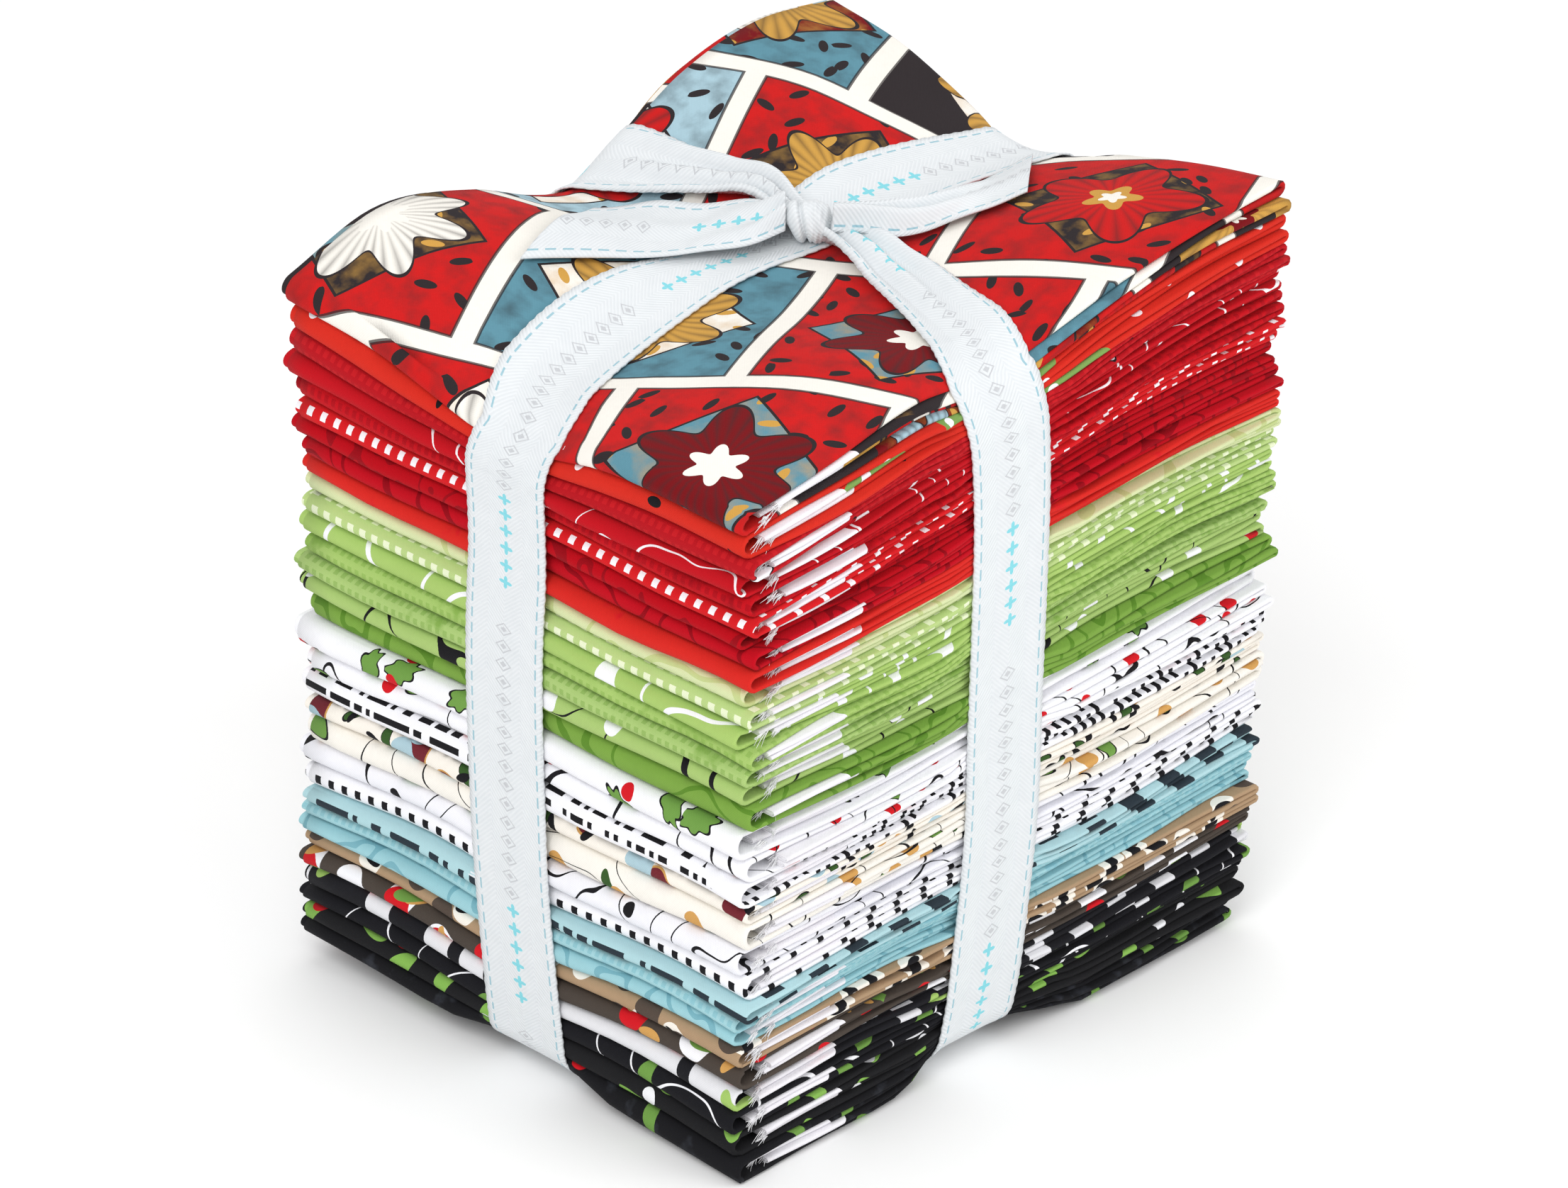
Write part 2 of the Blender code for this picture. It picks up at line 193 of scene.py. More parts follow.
@dataclass(frozen=True)
class Course:
    """Where a band's middle line runs, sideways, on its way round the stack.

    It is a smooth curve over the top and another up the face at its low side, and straight under the foot and
    up the high side.
    """

    top_places: tuple[float, ...]
    top_values: tuple[float, ...]
    foot: tuple[float, float]
    face_heights: tuple[float, ...]
    face_values: tuple[float, ...]

    def at(self, place: Array, z: Array, half: float, height: float) -> Array:
        """Blends the four: foot · (1 - up) + top · up + (1 - along) · (face - the face's straight line).

        Args:
            place: Places along the band's axis.
            z: Heights in the square stack.
            half: Half the stack's length along the band.
            height: The stack's height.

        Returns:
            The middle line's places across the axis.
        """
        place, z = np.broadcast_arrays(place, z)
        along = np.clip(place / (2 * half) + 0.5, 0, 1)
        up = np.clip(z / height, 0, 1)
        foot = self.foot[0] + (self.foot[1] - self.foot[0]) * along
        top = smooth_through(self.top_places, self.top_values, place)
        face = smooth_through(self.face_heights, self.face_values, z)
        straight = self.face_values[0] * (1 - up) + self.face_values[-1] * up
        return foot * (1 - up) + top * up + (1 - along) * (face - straight)


@dataclass(frozen=True)
class Lay:
    """How the tied stack lies: its size, the tape's courses, and where each point of the square stack goes."""

    half_length: float = 69.85
    half_width: float = 57.15
    height: float = sum(PITCHES)
    top_reach: float = sum(PITCHES[:7])
    bottom_reach: float = sum(PITCHES[-3:])
    fan_x: float = 0.05
    fan_y: float = 0.012
    lean: tuple[float, float] = (-1.9, 2.0)
    lean_from: float = 105.0
    tape_half: float = 9.8
    valley_rise: float = 3.2
    corner_rises: tuple[float, float, float, float] = (0.2, 1.5, 6.0, 4.5)
    top_roll: float = 14.0
    far_roll: float = 5.0
    foot_roll: float = 7.0
    roll_reach: float = 17.0
    tuck: float = 2.6
    top: Relief = Relief(
        (-69.0, -48.0, -24.0, -10.0, 1.0, 12.0, 28.0, 50.0, 69.0),
        (-57.0, -36.0, -14.0, 3.0, 20.0, 38.0, 57.0),
        (
            (0.5, 2.5, 4.4, 3.0, 1.5, 2.8, 5.5, 8.3, 8.5),
            (0.8, 3.5, 4.5, 2.0, 0.8, 2.0, 6.0, 6.5, 4.0),
            (-1.8, 0.0, 0.5, -1.0, -1.5, -0.5, 1.5, 1.0, -1.5),
            (-3.0, -2.5, -2.5, -2.0, -2.0, -2.0, -2.5, -3.5, -5.3),
            (-1.0, 2.5, 1.5, -1.5, -3.0, -1.0, 1.5, 1.0, -2.5),
            (2.5, 8.0, 4.5, -1.5, -3.5, 0.0, 5.5, 6.5, 3.2),
            (4.4, 10.2, 4.0, -2.5, -4.5, 0.5, 6.4, 8.8, 6.2),
        ),
    )
    ripple: Wander = Wander(5, (75.0, 75.0, 34.0), 0.6)
    long: Course = Course(
        (-70.0, -62.0, -50.0, -40.0, -26.0, -12.0, 0.0, 8.5, 27.0, 40.0, 50.0, 60.0, 70.0),
        (-1.0, 1.5, 5.5, 8.0, 10.2, 10.5, 9.2, 8.2, 8.5, 7.0, 5.5, 3.8, 2.5),
        (-4.8, -1.0), (0.0, 20.0, 50.0, 88.0, 118.0, sum(PITCHES)), (-4.8, -3.0, 0.5, 2.2, 1.0, -1.0))
    cross: Course = Course(
        (-57.0, -44.0, -33.0, -20.0, -10.0, 0.0, 4.0, 10.0, 19.0, 29.0, 39.0, 50.0, 57.0),
        (-4.0, 0.3, 4.0, 8.8, 11.4, 11.6, 10.2, 11.5, 14.0, 12.3, 9.6, 7.0, 5.0),
        (-8.0, 1.0), (0.0, 5.0, 17.0, 50.0, 85.0, 120.0, sum(PITCHES)),
        (-8.0, -7.2, -5.0, -1.8, -2.2, -2.4, -4.0))

    def long_course(self, x: Array, z: Array) -> Array:
        """The Y of the long band's middle line."""
        return self.long.at(x, z, self.half_length, self.height)

    def cross_course(self, y: Array, z: Array) -> Array:
        """The X of the cross band's middle line."""
        return self.cross.at(y, z, self.half_width, self.height)

    def underside(self, x: Array, y: Array) -> Array:
        """Rise of the underside: the tape's valley along both middles, or the curled corner if that is more."""
        valley = np.maximum(ease((24 - np.abs(x)) / 10), ease((24 - np.abs(y)) / 10))
        edge = np.maximum(ease((np.abs(x) - 46) / 22), ease((np.abs(y) - 38) / 19))
        along_x = np.clip(x / (2 * self.half_length) + 0.5, 0, 1)
        along_y = np.clip(y / (2 * self.half_width) + 0.5, 0, 1)
        near, right, left, far = self.corner_rises
        corner = (near + (right - near) * along_x) * (1 - along_y) + (left + (far - left) * along_x) * along_y
        return np.maximum(self.valley_rise * valley, corner * edge)

    @staticmethod
    def rolled(from_edge: Array, depth: Array, radius: float | Array) -> tuple[Array, Array]:
        """How far a square edge gives way when it is pulled round.

        The square of the radius's size maps to a quarter disc, (u, v) to (u · √(1 - v² / 2),
        v · √(1 - u² / 2)), where u and v grow from 0 to 1 towards the edge.

        Args:
            from_edge: Distances in from the side.
            depth: Distances in from the top or the underside.
            radius: How far from the edge the pull is felt.

        Returns:
            How far each point moves in from the side, and in from the top or the underside.
        """
        u = np.clip(1 - from_edge / radius, 0, 1)
        v = np.clip(1 - depth / radius, 0, 1)
        return radius * u * (1 - np.sqrt(1 - v * v / 2)), radius * v * (1 - np.sqrt(1 - u * u / 2))

    def settled(self, x: Array, y: Array, z: Array) -> tuple[Array, Array, Array]:
        """Moves points of the square stack to where the tape and the soft folds leave them.

        The edges under the tape are rolled round. The top seven and bottom three quarters take a share of the
        top's and the underside's rises. A common ripple runs through the rims. The whole stack fans out along
        X and Y, z · (1 + fan_x · x / half_length + fan_y · y / half_width). Its upper part leans, most at the
        left corner, and its right foot is tucked in.

        Args:
            x, y, z: The square stack's places.

        Returns:
            The places in the tied stack.
        """
        x, y, z = np.broadcast_arrays(x, y, z)
        depth = self.height - z
        under_long = bump((y - self.long_course(x, z)) / self.roll_reach, 4)
        under_cross = bump((x - self.cross_course(y, z)) / self.roll_reach, 4)
        side_x, side_y = self.half_length - np.abs(x), self.half_width - np.abs(y)
        in_x, down_x = self.rolled(side_x, depth, np.where(x < 0, self.top_roll, self.far_roll))
        in_y, down_y = self.rolled(side_y, depth, np.where(y < 0, self.top_roll, self.far_roll))
        foot_x, up_x = self.rolled(side_x, z, self.foot_roll)
        foot_y, up_y = self.rolled(side_y, z, self.foot_roll)
        upper = self.lean_share(z) * (0.5 + 0.25 * (y / self.half_width - x / self.half_length))
        tucked = self.tuck * ease(1 - z / 15) * ease((x - 34) / 34) * ease((-y - 14) / 30)
        moved_x = x - np.sign(x) * (in_x + foot_x) * under_long + self.lean[0] * upper - tucked
        moved_y = y - np.sign(y) * (in_y + foot_y) * under_cross + self.lean[1] * upper + 0.5 * tucked
        near_top = np.clip(1 - depth / self.top_reach, 0, 1.05)
        near_bottom = np.clip(1 - z / self.bottom_reach, 0, 1)
        outer = np.maximum(ease((np.abs(x) - 30) / 36), ease((np.abs(y) - 24) / 30))
        inside = ease(z / 14) * ease((depth + 6) / 14)
        risen = z + near_top * self.top.rise(x, y) + near_bottom * self.underside(x, y)
        risen = risen + outer * inside * self.ripple.at(x, y, z)
        risen = risen + (up_x - down_x) * under_long + (up_y - down_y) * under_cross
        fan = 1 + self.fan_x * x / self.half_length + self.fan_y * y / self.half_width
        return moved_x, moved_y, risen * fan

    def lean_share(self, z: Array) -> Array:
        """How much of the lean a height takes, from none at the lean's foot to all at the top."""
        return ease((z - self.lean_from) / (self.height - self.lean_from))


def put_mesh(name: str, places: list, faces: list) -> bpy.types.Object:
    """Makes a smooth mesh object at the origin and puts it in the scene.

    Args:
        name: The name of the object and its mesh.
        places: The corners, in metres.
        faces: The corners' numbers of each face.

    Returns:
        The object.
    """
    mesh = bpy.data.meshes.new(name)
    mesh.from_pydata(places, [], faces)
    mesh.polygons.foreach_set("use_smooth", np.ones(len(faces), dtype=bool))
    mesh.update()
    obj = bpy.data.objects.new(name, mesh)
    bpy.context.scene.collection.objects.link(obj)
    return obj


class SheetMesh:
    """Turns grids of points into sheets."""

    @staticmethod
    def build(name: str, points: tuple[Array, Array, Array], flat: tuple[Array, Array],
              ring: bool = False) -> bpy.types.Object:
        """Makes one quad per grid cell. Faces point along (step of the first axis) × (step of the second).

        Args:
            name: The object's name.
            points: X, Y and Z grids, in millimetres.
            flat: Grids of the two places in the cut cloth, in millimetres, kept as the UV map in metres.
            ring: Whether the last row meets the first.

        Returns:
            The object, at the origin, smooth shaded.
        """
        rows, columns = points[0].shape
        places = np.stack([axis.ravel() for axis in points], axis=1) * MM
        index = np.arange(rows * columns).reshape(rows, columns)
        after = np.roll(index, -1, axis=0) if ring else index[1:]
        before = index if ring else index[:-1]
        quads = np.stack([before[:, :-1], after[:, :-1], after[:, 1:], before[:, 1:]], axis=-1)
        obj = put_mesh(name, places.tolist(), quads.reshape(-1, 4).tolist())
        SheetMesh.lay_out(obj.data, flat)
        return obj

    @staticmethod
    def lay_out(mesh: bpy.types.Mesh, flat: tuple[Array, Array]) -> None:
        """Writes the cut cloth's own places to the UV map. A ring's last row of faces runs on past the first.

        Args:
            mesh: The mesh, with one face per grid cell in order.
            flat: Grids of the two flat places, in millimetres. A ring has one row more here than in its points.
        """
        rows, columns = flat[0].shape
        index = np.arange(rows * columns).reshape(rows, columns)
        corners = np.stack([index[:-1, :-1], index[1:, :-1], index[1:, 1:], index[:-1, 1:]], axis=-1)
        pairs = np.stack([axis.ravel()[corners.ravel()] for axis in flat], axis=1) * MM
        layer = mesh.uv_layers.new(name="cut")
        layer.data.foreach_set("uv", pairs.astype(np.float32).ravel())

    @staticmethod
    def thicken(obj: bpy.types.Object, thickness: float, offset: float = 0.0, reverse_slot: int = 0) -> None:
        """Gives the sheet its thickness in millimetres, with the reverse side's material from another slot."""
        shell = obj.modifiers.new("ply", "SOLIDIFY")
        shell.thickness = thickness * MM
        shell.offset = offset
        shell.material_offset = reverse_slot
        shell.material_offset_rim = reverse_slot
        shell.use_rim = True


def node_step(operation: str, swapped: bool = False) -> Callable:
    """Makes an operator for Value that adds one arithmetic node, its two sides swapped for a reflected one."""

    def step(value: "Value", other: object = 0.0) -> "Value":
        """Adds the node."""
        one, two = (other, value) if swapped else (value, other)
        return value.graph.math(operation, one, two)

    return step


@dataclass(frozen=True, eq=False)
class Value:
    """An output in a node tree. Each operator adds a node, so a formula reads as it would for numbers."""

    graph: "Graph"
    socket: bpy.types.NodeSocket

    __add__ = __radd__ = node_step("ADD")
    __sub__ = node_step("SUBTRACT")
    __rsub__ = node_step("SUBTRACT", swapped=True)
    __mul__ = __rmul__ = node_step("MULTIPLY")
    __truediv__ = node_step("DIVIDE")
    __rtruediv__ = node_step("DIVIDE", swapped=True)
    __mod__ = node_step("FLOORED_MODULO")
    __lt__ = node_step("LESS_THAN")
    __gt__ = node_step("GREATER_THAN")
    __abs__ = node_step("ABSOLUTE")


class Graph:
    """A node tree, with short calls that add a node, set its constants and link its inputs."""

    def __init__(self, tree: bpy.types.NodeTree) -> None:
        """Keeps the tree."""
        self.tree = tree

    def feed(self, socket: bpy.types.NodeSocket, value: object) -> None:
        """Links a value's socket to this one, or sets this one to a constant."""
        if isinstance(value, Value):
            self.tree.links.new(value.socket, socket)
        else:
            socket.default_value = value

    def add(self, kind: str, inputs: dict, output: int | str = 0, **settings: object) -> Value:
        """Adds a node.

        Args:
            kind: Blender's name of the node, without its ShaderNode start.
            inputs: Constants or values by input name or number.
            output: The output that is wanted.
            settings: The node's own settings.

        Returns:
            The output.
        """
        node = self.tree.nodes.new("ShaderNode" + kind)
        for name, setting in settings.items():
            setattr(node, name, setting)
        for key, value in inputs.items():
            self.feed(node.inputs[key], value)
        return Value(self, node.outputs[output])

    def math(self, operation: str, one: object, other: object = 0.0) -> Value:
        """The outcome of one arithmetic step on one or two values."""
        return self.add("Math", {0: one, 1: other}, operation=operation)

    def floor(self, value: Value) -> Value:
        """The whole number below a value."""
        return self.math("FLOOR", value)

    def fraction(self, value: Value) -> Value:
        """What is left of a value above the whole number below it."""
        return self.math("FRACT", value)

    def sine(self, value: Value) -> Value:
        """The sine of an angle in radians."""
        return self.math("SINE", value)

    def scaled(self, vector: Value, by: object) -> Value:
        """A vector times a value."""
        return self.add("VectorMath", {0: vector, "Scale": by}, operation="SCALE")

    def turned(self, vector: Value, angle: object) -> Value:
        """A vector turned about Z."""
        return self.add("VectorRotate", {"Vector": vector, "Angle": angle}, rotation_type="Z_AXIS")

    def joined(self, u: Value, v: Value) -> Value:
        """The vector of two values."""
        return self.add("CombineXYZ", {0: u, 1: v})

    def parts(self, vector: Value, kind: str = "SeparateXYZ", count: int = 2) -> list[Value]:
        """The first parts of a vector or a colour."""
        first = self.add(kind, {0: vector})
        return [Value(self, output) for output in first.socket.node.outputs[:count]]

    def chances(self, colour: Value) -> list[Value]:
        """The three channels of a random colour, as three chances of 0 to 1."""
        return self.parts(colour, "SeparateColor", 3)

    def cell_chances(self, column: Value, row: Value) -> list[Value]:
        """Three chances that are the same all over one cell of a grid."""
        place = self.joined(column, row)
        return self.chances(self.add("TexWhiteNoise", {"Vector": place}, "Color", noise_dimensions="2D"))

    def cloud(self, place: Value, scale: object, detail: float, **settings: object) -> Value:
        """Soft noise of 0 to 1."""
        return self.add("TexNoise", {"Vector": place, "Scale": scale, "Detail": detail}, **settings)

    def mix(self, share: object, under: object, over: object, blend: str = "MIX") -> Value:
        """One colour over another by the given share."""
        return self.add("Mix", {0: share, 6: under, 7: over}, 2, data_type="RGBA", blend_type=blend)

    def pick(self, value: Value, colours: tuple[Colour, ...]) -> Value:
        """One of a few colours, each for an equal part of 0 to 1."""
        picked = self.add("ValToRGB", {0: value})
        ramp = picked.socket.node.color_ramp
        ramp.interpolation = "CONSTANT"
        for number in range(2, len(colours)):
            ramp.elements.new(number / len(colours))
        for number, colour in enumerate(colours):
            ramp.elements[number].position = number / len(colours)
            ramp.elements[number].color = colour
        return picked

    def effect(self, effect: Callable, **inputs: object) -> dict[str, Value]:
        """Places an effect's node group, fed by input name, and gives its outputs by name."""
        node = self.tree.nodes.new("ShaderNodeGroup")
        node.node_tree = bpy.data.node_groups[effect.__name__]
        for name, value in inputs.items():
            self.feed(node.inputs[name], value)
        return {output.name: Value(self, output) for output in node.outputs}

    def dress(self, colour: object, height: Value, strength: float, depth: float,
              surface: dict[str, float]) -> None:
        """Feeds the material's shader.

        Args:
            colour: The base colour.
            height: The relief, 0 to 1.
            strength: How much of the relief is felt.
            depth: How deep it is, in metres.
            surface: Levels of the shader's inputs that are the same everywhere.
        """
        shader = self.tree.nodes["Principled BSDF"]
        self.feed(shader.inputs["Base Color"], colour)
        relief = self.add("Bump", {"Height": height, "Strength": strength, "Distance": depth})
        self.feed(shader.inputs["Normal"], relief)
        for name, level in surface.items():
            shader.inputs[name].default_value = level


def new_material(name: str) -> tuple[bpy.types.Material, Graph]:
    """Makes a material with an empty finish, and its graph."""
    material = bpy.data.materials.new(name)
    material.use_nodes = True
    return material, Graph(material.node_tree)


def plain_weave(graph: Graph, place: Value, pitch: Value) -> dict[str, Value]:
    """Threads over and under: 0.25 + 0.35 · sin(2πu / pitch) · sin(2πv / pitch), with 0.5 · noise for slubs."""
    u, v = graph.parts(graph.scaled(place, TURN / pitch))
    wave = graph.sine(u) * graph.sine(v)
    return {"height": graph.cloud(place, 900.0, 2.0) * 0.5 + (wave * 0.35 + 0.25)}


def herringbone(graph: Graph, along: Value, across: Value, rib: Value, stripe: Value) -> dict[str, Value]:
    """Twill ribs that change direction in stripes: ½ + ½ · sin(2π · (along ± across) / rib)."""
    slant = along + graph.math("PINGPONG", across, stripe)
    return {"height": graph.sine(slant * TURN / rib) * 0.5 + 0.5}


def scatter(graph: Graph, place: Value, pitch: Value) -> dict[str, Value]:
    """Splits the cloth into uneven cells: the place from a cell's point, turned at random, and a chance."""
    scaled = graph.scaled(place, 1.0 / pitch)
    centre = graph.add("TexVoronoi", {"Vector": scaled, "Scale": 1.0, "Randomness": 0.75}, "Position",
                       voronoi_dimensions="2D")
    from_centre = graph.add("VectorMath", {0: scaled, 1: centre}, operation="SUBTRACT")
    chance, _, turn = graph.chances(Value(graph, centre.socket.node.outputs["Color"]))
    return {"local": graph.turned(graph.scaled(from_centre, pitch), turn * TURN), "chance": chance}


def figure(graph: Graph, local: Value, radius: Value, lobes: Value, depth: Value,
           squash: Value) -> dict[str, Value]:
    """How far inside a lobed figure: 1 - distance / (radius · (1 - depth · (½ - ½ · cos(lobes · angle))))."""
    u, v = graph.parts(local)
    tall = v / squash
    angle = graph.math("ARCTAN2", tall, u)
    dent = depth * (graph.math("COSINE", angle * lobes) * -0.5 + 0.5)
    distance = graph.math("SQRT", u * u + tall * tall)
    return {"inside": 1.0 - distance / (radius * (1.0 - dent)), "angle": angle}


def contour(graph: Graph, place: Value, pitch: Value, size: Value) -> dict[str, Value]:
    """Thin wandering lines: a cloudy field's levels, where |fraction(7 · field) - ½| is under the size."""
    cloud = graph.add("TexNoise", {"Vector": place, "Scale": 1.0 / pitch, "Detail": 1.5, "Roughness": 0.4},
                      noise_dimensions="2D")
    return {"mask": abs(graph.fraction(cloud * 7.0) - 0.5) < size}


def strokes(graph: Graph, place: Value, pitch: Value, size: Value) -> dict[str, Value]:
    """Rows of strokes, each some cells long: a chance for each cell of a row, inside a band of the row."""
    u, v = graph.parts(place)
    row = v / pitch
    cell = graph.joined(graph.floor(u / (size * MM)), graph.floor(row))
    chance = graph.add("TexWhiteNoise", {"Vector": cell}, noise_dimensions="2D")
    return {"mask": (graph.fraction(row) < 0.45) * (chance > 0.42)}


def checks(graph: Graph, place: Value, pitch: Value, size: Value) -> dict[str, Value]:
    """Small squares in stepped rows: inside both a band of u and a band of v, each second row moved by half."""
    u, v = graph.parts(place)
    row = v / pitch
    column = u / pitch + graph.floor(row) % 2.0 * 0.5
    return {"mask": (graph.fraction(row) < size) * (graph.fraction(column) < size)}


def patchwork(graph: Graph, place: Value, patch: Value, tilt: Value) -> dict[str, Value]:
    """A tilted grid of patches: the place from each patch's middle, how near its edge that is, and chances."""
    u, v = graph.parts(graph.scaled(graph.turned(place, tilt), 1.0 / patch))
    row = graph.floor(v)
    moved = u + row * 0.37
    across, along = graph.fraction(moved) - 0.5, graph.fraction(v) - 0.5
    chance, second, third = graph.cell_chances(graph.floor(moved), row)
    square = graph.scaled(graph.joined(across, along), patch)
    rim = graph.math("MAXIMUM", abs(across), abs(along))
    return {"local": graph.turned(square, third * TURN), "square": square, "rim": rim,
            "chance": chance, "second": second, "third": third}


def make_group(effect: Callable) -> None:
    """Makes an effect's node group: its inputs are the effect's arguments, its outputs what the effect returns.

    Args:
        effect: A function of a graph and of values by name. A place or a vector has one of the VECTORS' names.
    """
    tree = bpy.data.node_groups.new(effect.__name__, "ShaderNodeTree")
    names = list(inspect.signature(effect).parameters)[1:]

    def open_sockets(side: str, keys: list[str]) -> None:
        """Opens one socket per name on the group's in or out side."""
        for key in keys:
            kind = "NodeSocketVector" if key in VECTORS else "NodeSocketFloat"
            tree.interface.new_socket(key, in_out=side, socket_type=kind)

    open_sockets("INPUT", names)
    start = tree.nodes.new("NodeGroupInput")
    graph = Graph(tree)
    outcome = effect(graph, *(Value(graph, start.outputs[name]) for name in names))
    open_sockets("OUTPUT", list(outcome))
    end = tree.nodes.new("NodeGroupOutput")
    for name, value in outcome.items():
        graph.feed(end.inputs[name], value)


class Kind(Enum):
    """How a motif lies on the cloth."""

    SCATTER = "figures strewn over the cloth"
    CONTOUR = "thin wandering lines"
    STROKES = "rows of short strokes"
    CHECKS = "small squares in stepped rows"
    CLOUD = "soft patches"


@dataclass(frozen=True)
class Motif:
    """One printed motif: its kind and colour, how far apart it is in millimetres, and its size.

    The size is a radius or a length in millimetres for figures and strokes. It is a share of the spacing for
    checks and of a level's step for lines, and the noise that patches start from.
    """

    kind: Kind
    colour: Colour
    spacing: float
    size: float
    lobes: float = 0.0
    depth: float = 0.0
    squash: float = 1.0
    share: float = 1.0
    outline: Colour | None = None

    def over(self, graph: Graph, place: Value, under: object) -> Value:
        """Prints the motif over a colour.

        Args:
            graph: The material's graph.
            place: The place in the cut cloth.
            under: The colour so far.

        Returns:
            The colour with the motif over it.
        """
        pitch = self.spacing * MM
        if self.kind is Kind.SCATTER:
            return self.figures(graph, place, under)
        if self.kind is Kind.CLOUD:
            mask = graph.add("Clamp", {0: (graph.cloud(place, 1 / pitch, 3.0) - self.size) * 8.0})
        else:
            effect = {Kind.CONTOUR: contour, Kind.STROKES: strokes, Kind.CHECKS: checks}[self.kind]
            mask = graph.effect(effect, place=place, pitch=pitch, size=self.size)["mask"]
        return graph.mix(mask * self.share, under, self.colour)

    def figures(self, graph: Graph, place: Value, under: object) -> Value:
        """Prints lobed figures, a share of them, each with its outline. Takes and gives what over() does."""
        cells = graph.effect(scatter, place=place, pitch=self.spacing * MM)
        inside = graph.effect(figure, local=cells["local"], radius=self.size * MM, lobes=self.lobes,
                              depth=self.depth, squash=self.squash)["inside"]
        drawn = cells["chance"] < self.share
        if self.outline:
            under = graph.mix(drawn * (inside > 0.0), under, self.outline)
        return graph.mix(drawn * (inside > (0.14 if self.outline else 0.0)), under, self.colour)


@dataclass(frozen=True)
class Cotton:
    """The finish of one printed quilting cotton."""

    name: str
    slot: str
    ground: Colour
    motifs: tuple[Motif, ...] = ()
    patches: bool = False
    weave_pitch: float = 0.42
    margin: float = 20.0
    ragged: float = 14.0

    MARGIN_COLOUR = paint(238, 236, 241)
    SURFACE = {"Roughness": 0.9, "Sheen Weight": 0.02, "Sheen Roughness": 0.5, "Specular IOR Level": 0.1}
    PATCH = 0.052
    PATCH_TILT = 0.42
    SASH_FROM = 0.456
    DIAMOND = 0.0204
    DIAMOND_LINE = 0.0008
    FLOWER = 0.0172

    def print_material(self) -> bpy.types.Material:
        """The printed side: ground, motifs and the unprinted white margin along both raw ends.

        Returns:
            The material.
        """
        material, graph, place = self.begin("print_" + self.name)
        colour = self.patchwork_colour(graph, place) if self.patches else self.ground
        for motif in self.motifs:
            colour = motif.over(graph, place, colour)
        across, along = graph.parts(place)
        ragged = graph.add("TexNoise", {"W": across, "Scale": 70.0, "Detail": 2.0}, noise_dimensions="1D")
        reach = ragged * (self.ragged * MM) + (self.margin - self.ragged / 2) * MM
        from_end = graph.math("PINGPONG", along, Folding.cut_length / 2 * MM)
        self.finish(graph, place, graph.mix(from_end < reach, colour, self.MARGIN_COLOUR))
        return material

    def reverse_material(self) -> bpy.types.Material:
        """The reverse side, where the ground colour shows through palely.

        Returns:
            The material.
        """
        material, graph, place = self.begin("reverse_" + self.name)
        pale = blend_colour(self.ground, self.MARGIN_COLOUR, 0.55)
        self.finish(graph, place, graph.mix(graph.cloud(place, 90.0, 2.0), pale, self.MARGIN_COLOUR))
        return material

    def begin(self, name: str) -> tuple[bpy.types.Material, Graph, Value]:
        """Starts a material: gives it, its graph, and the place in the cut cloth in metres."""
        material, graph = new_material(name)
        return material, graph, graph.add("UVMap", {}, "UV", uv_map="cut")

    def patchwork_colour(self, graph: Graph, place: Value) -> Value:
        """The top quarter's design: blocks with a leafy ground, a diamond and a flower, between cream strips.

        Args:
            graph: The material's graph.
            place: The place in the cut cloth.

        Returns:
            The design's colour.
        """
        red, deep_red, gold = paint(198, 28, 28), paint(116, 16, 22), paint(200, 152, 72)
        teal, pale_blue, green = paint(92, 140, 156), paint(164, 194, 206), paint(70, 104, 52)
        charcoal, cream = paint(46, 40, 42), paint(238, 234, 226)
        cell = graph.effect(patchwork, place=place, patch=self.PATCH, tilt=self.PATCH_TILT)
        ground = graph.pick(cell["chance"], (red, teal, red, charcoal, pale_blue, red, teal))
        panel = graph.pick(cell["second"], (charcoal, cream, deep_red, pale_blue, teal, charcoal))
        petal = graph.pick(cell["third"], (red, gold, deep_red, cream, gold, pale_blue))
        heart = graph.pick(cell["third"], (gold, charcoal, cream, deep_red, green))
        lobes = graph.math("ROUND", cell["third"] * 3.0) + 5.0
        flower = graph.effect(figure, local=cell["local"], radius=self.FLOWER, lobes=lobes, depth=0.42,
                              squash=1.0)
        inside = flower["inside"]
        vein = abs(graph.sine(flower["angle"] * (lobes * 2.5)))
        streak = (1.0 - vein) * (inside * -0.5 + 0.6)
        u, v = graph.parts(cell["square"])
        reach = abs(u) + abs(v)
        colour = self.leafy(graph, place, ground, charcoal)
        layers = (
            (reach < self.DIAMOND + self.DIAMOND_LINE, charcoal),
            (reach < self.DIAMOND, self.leafy(graph, place, panel, gold)),
            (inside > -0.05, charcoal),
            (inside > 0.0, graph.mix(streak, petal, charcoal)),
            (inside > 0.66, heart),
            (inside > 0.84, cream),
            (cell["rim"] > self.SASH_FROM, cream),
            ((abs(cell["rim"] - self.SASH_FROM) < 0.006) * 0.85, charcoal),
        )
        for mask, over in layers:
            colour = graph.mix(mask, colour, over)
        return colour

    def leafy(self, graph: Graph, place: Value, ground: Value, leaf: Colour) -> Value:
        """Strews small leaves and a soft mottle over a ground.

        Args:
            graph: The material's graph.
            place: The place in the cut cloth.
            ground: The ground's colour.
            leaf: The leaves' colour.

        Returns:
            The colour with the leaves over it.
        """
        mottle = graph.add("Clamp", {0: (graph.cloud(place, 190.0, 4.0) - 0.42) * 1.6})
        return leaves(leaf, 6.5, 2.2, 0.55).over(graph, place, graph.mix(mottle, ground, leaf))

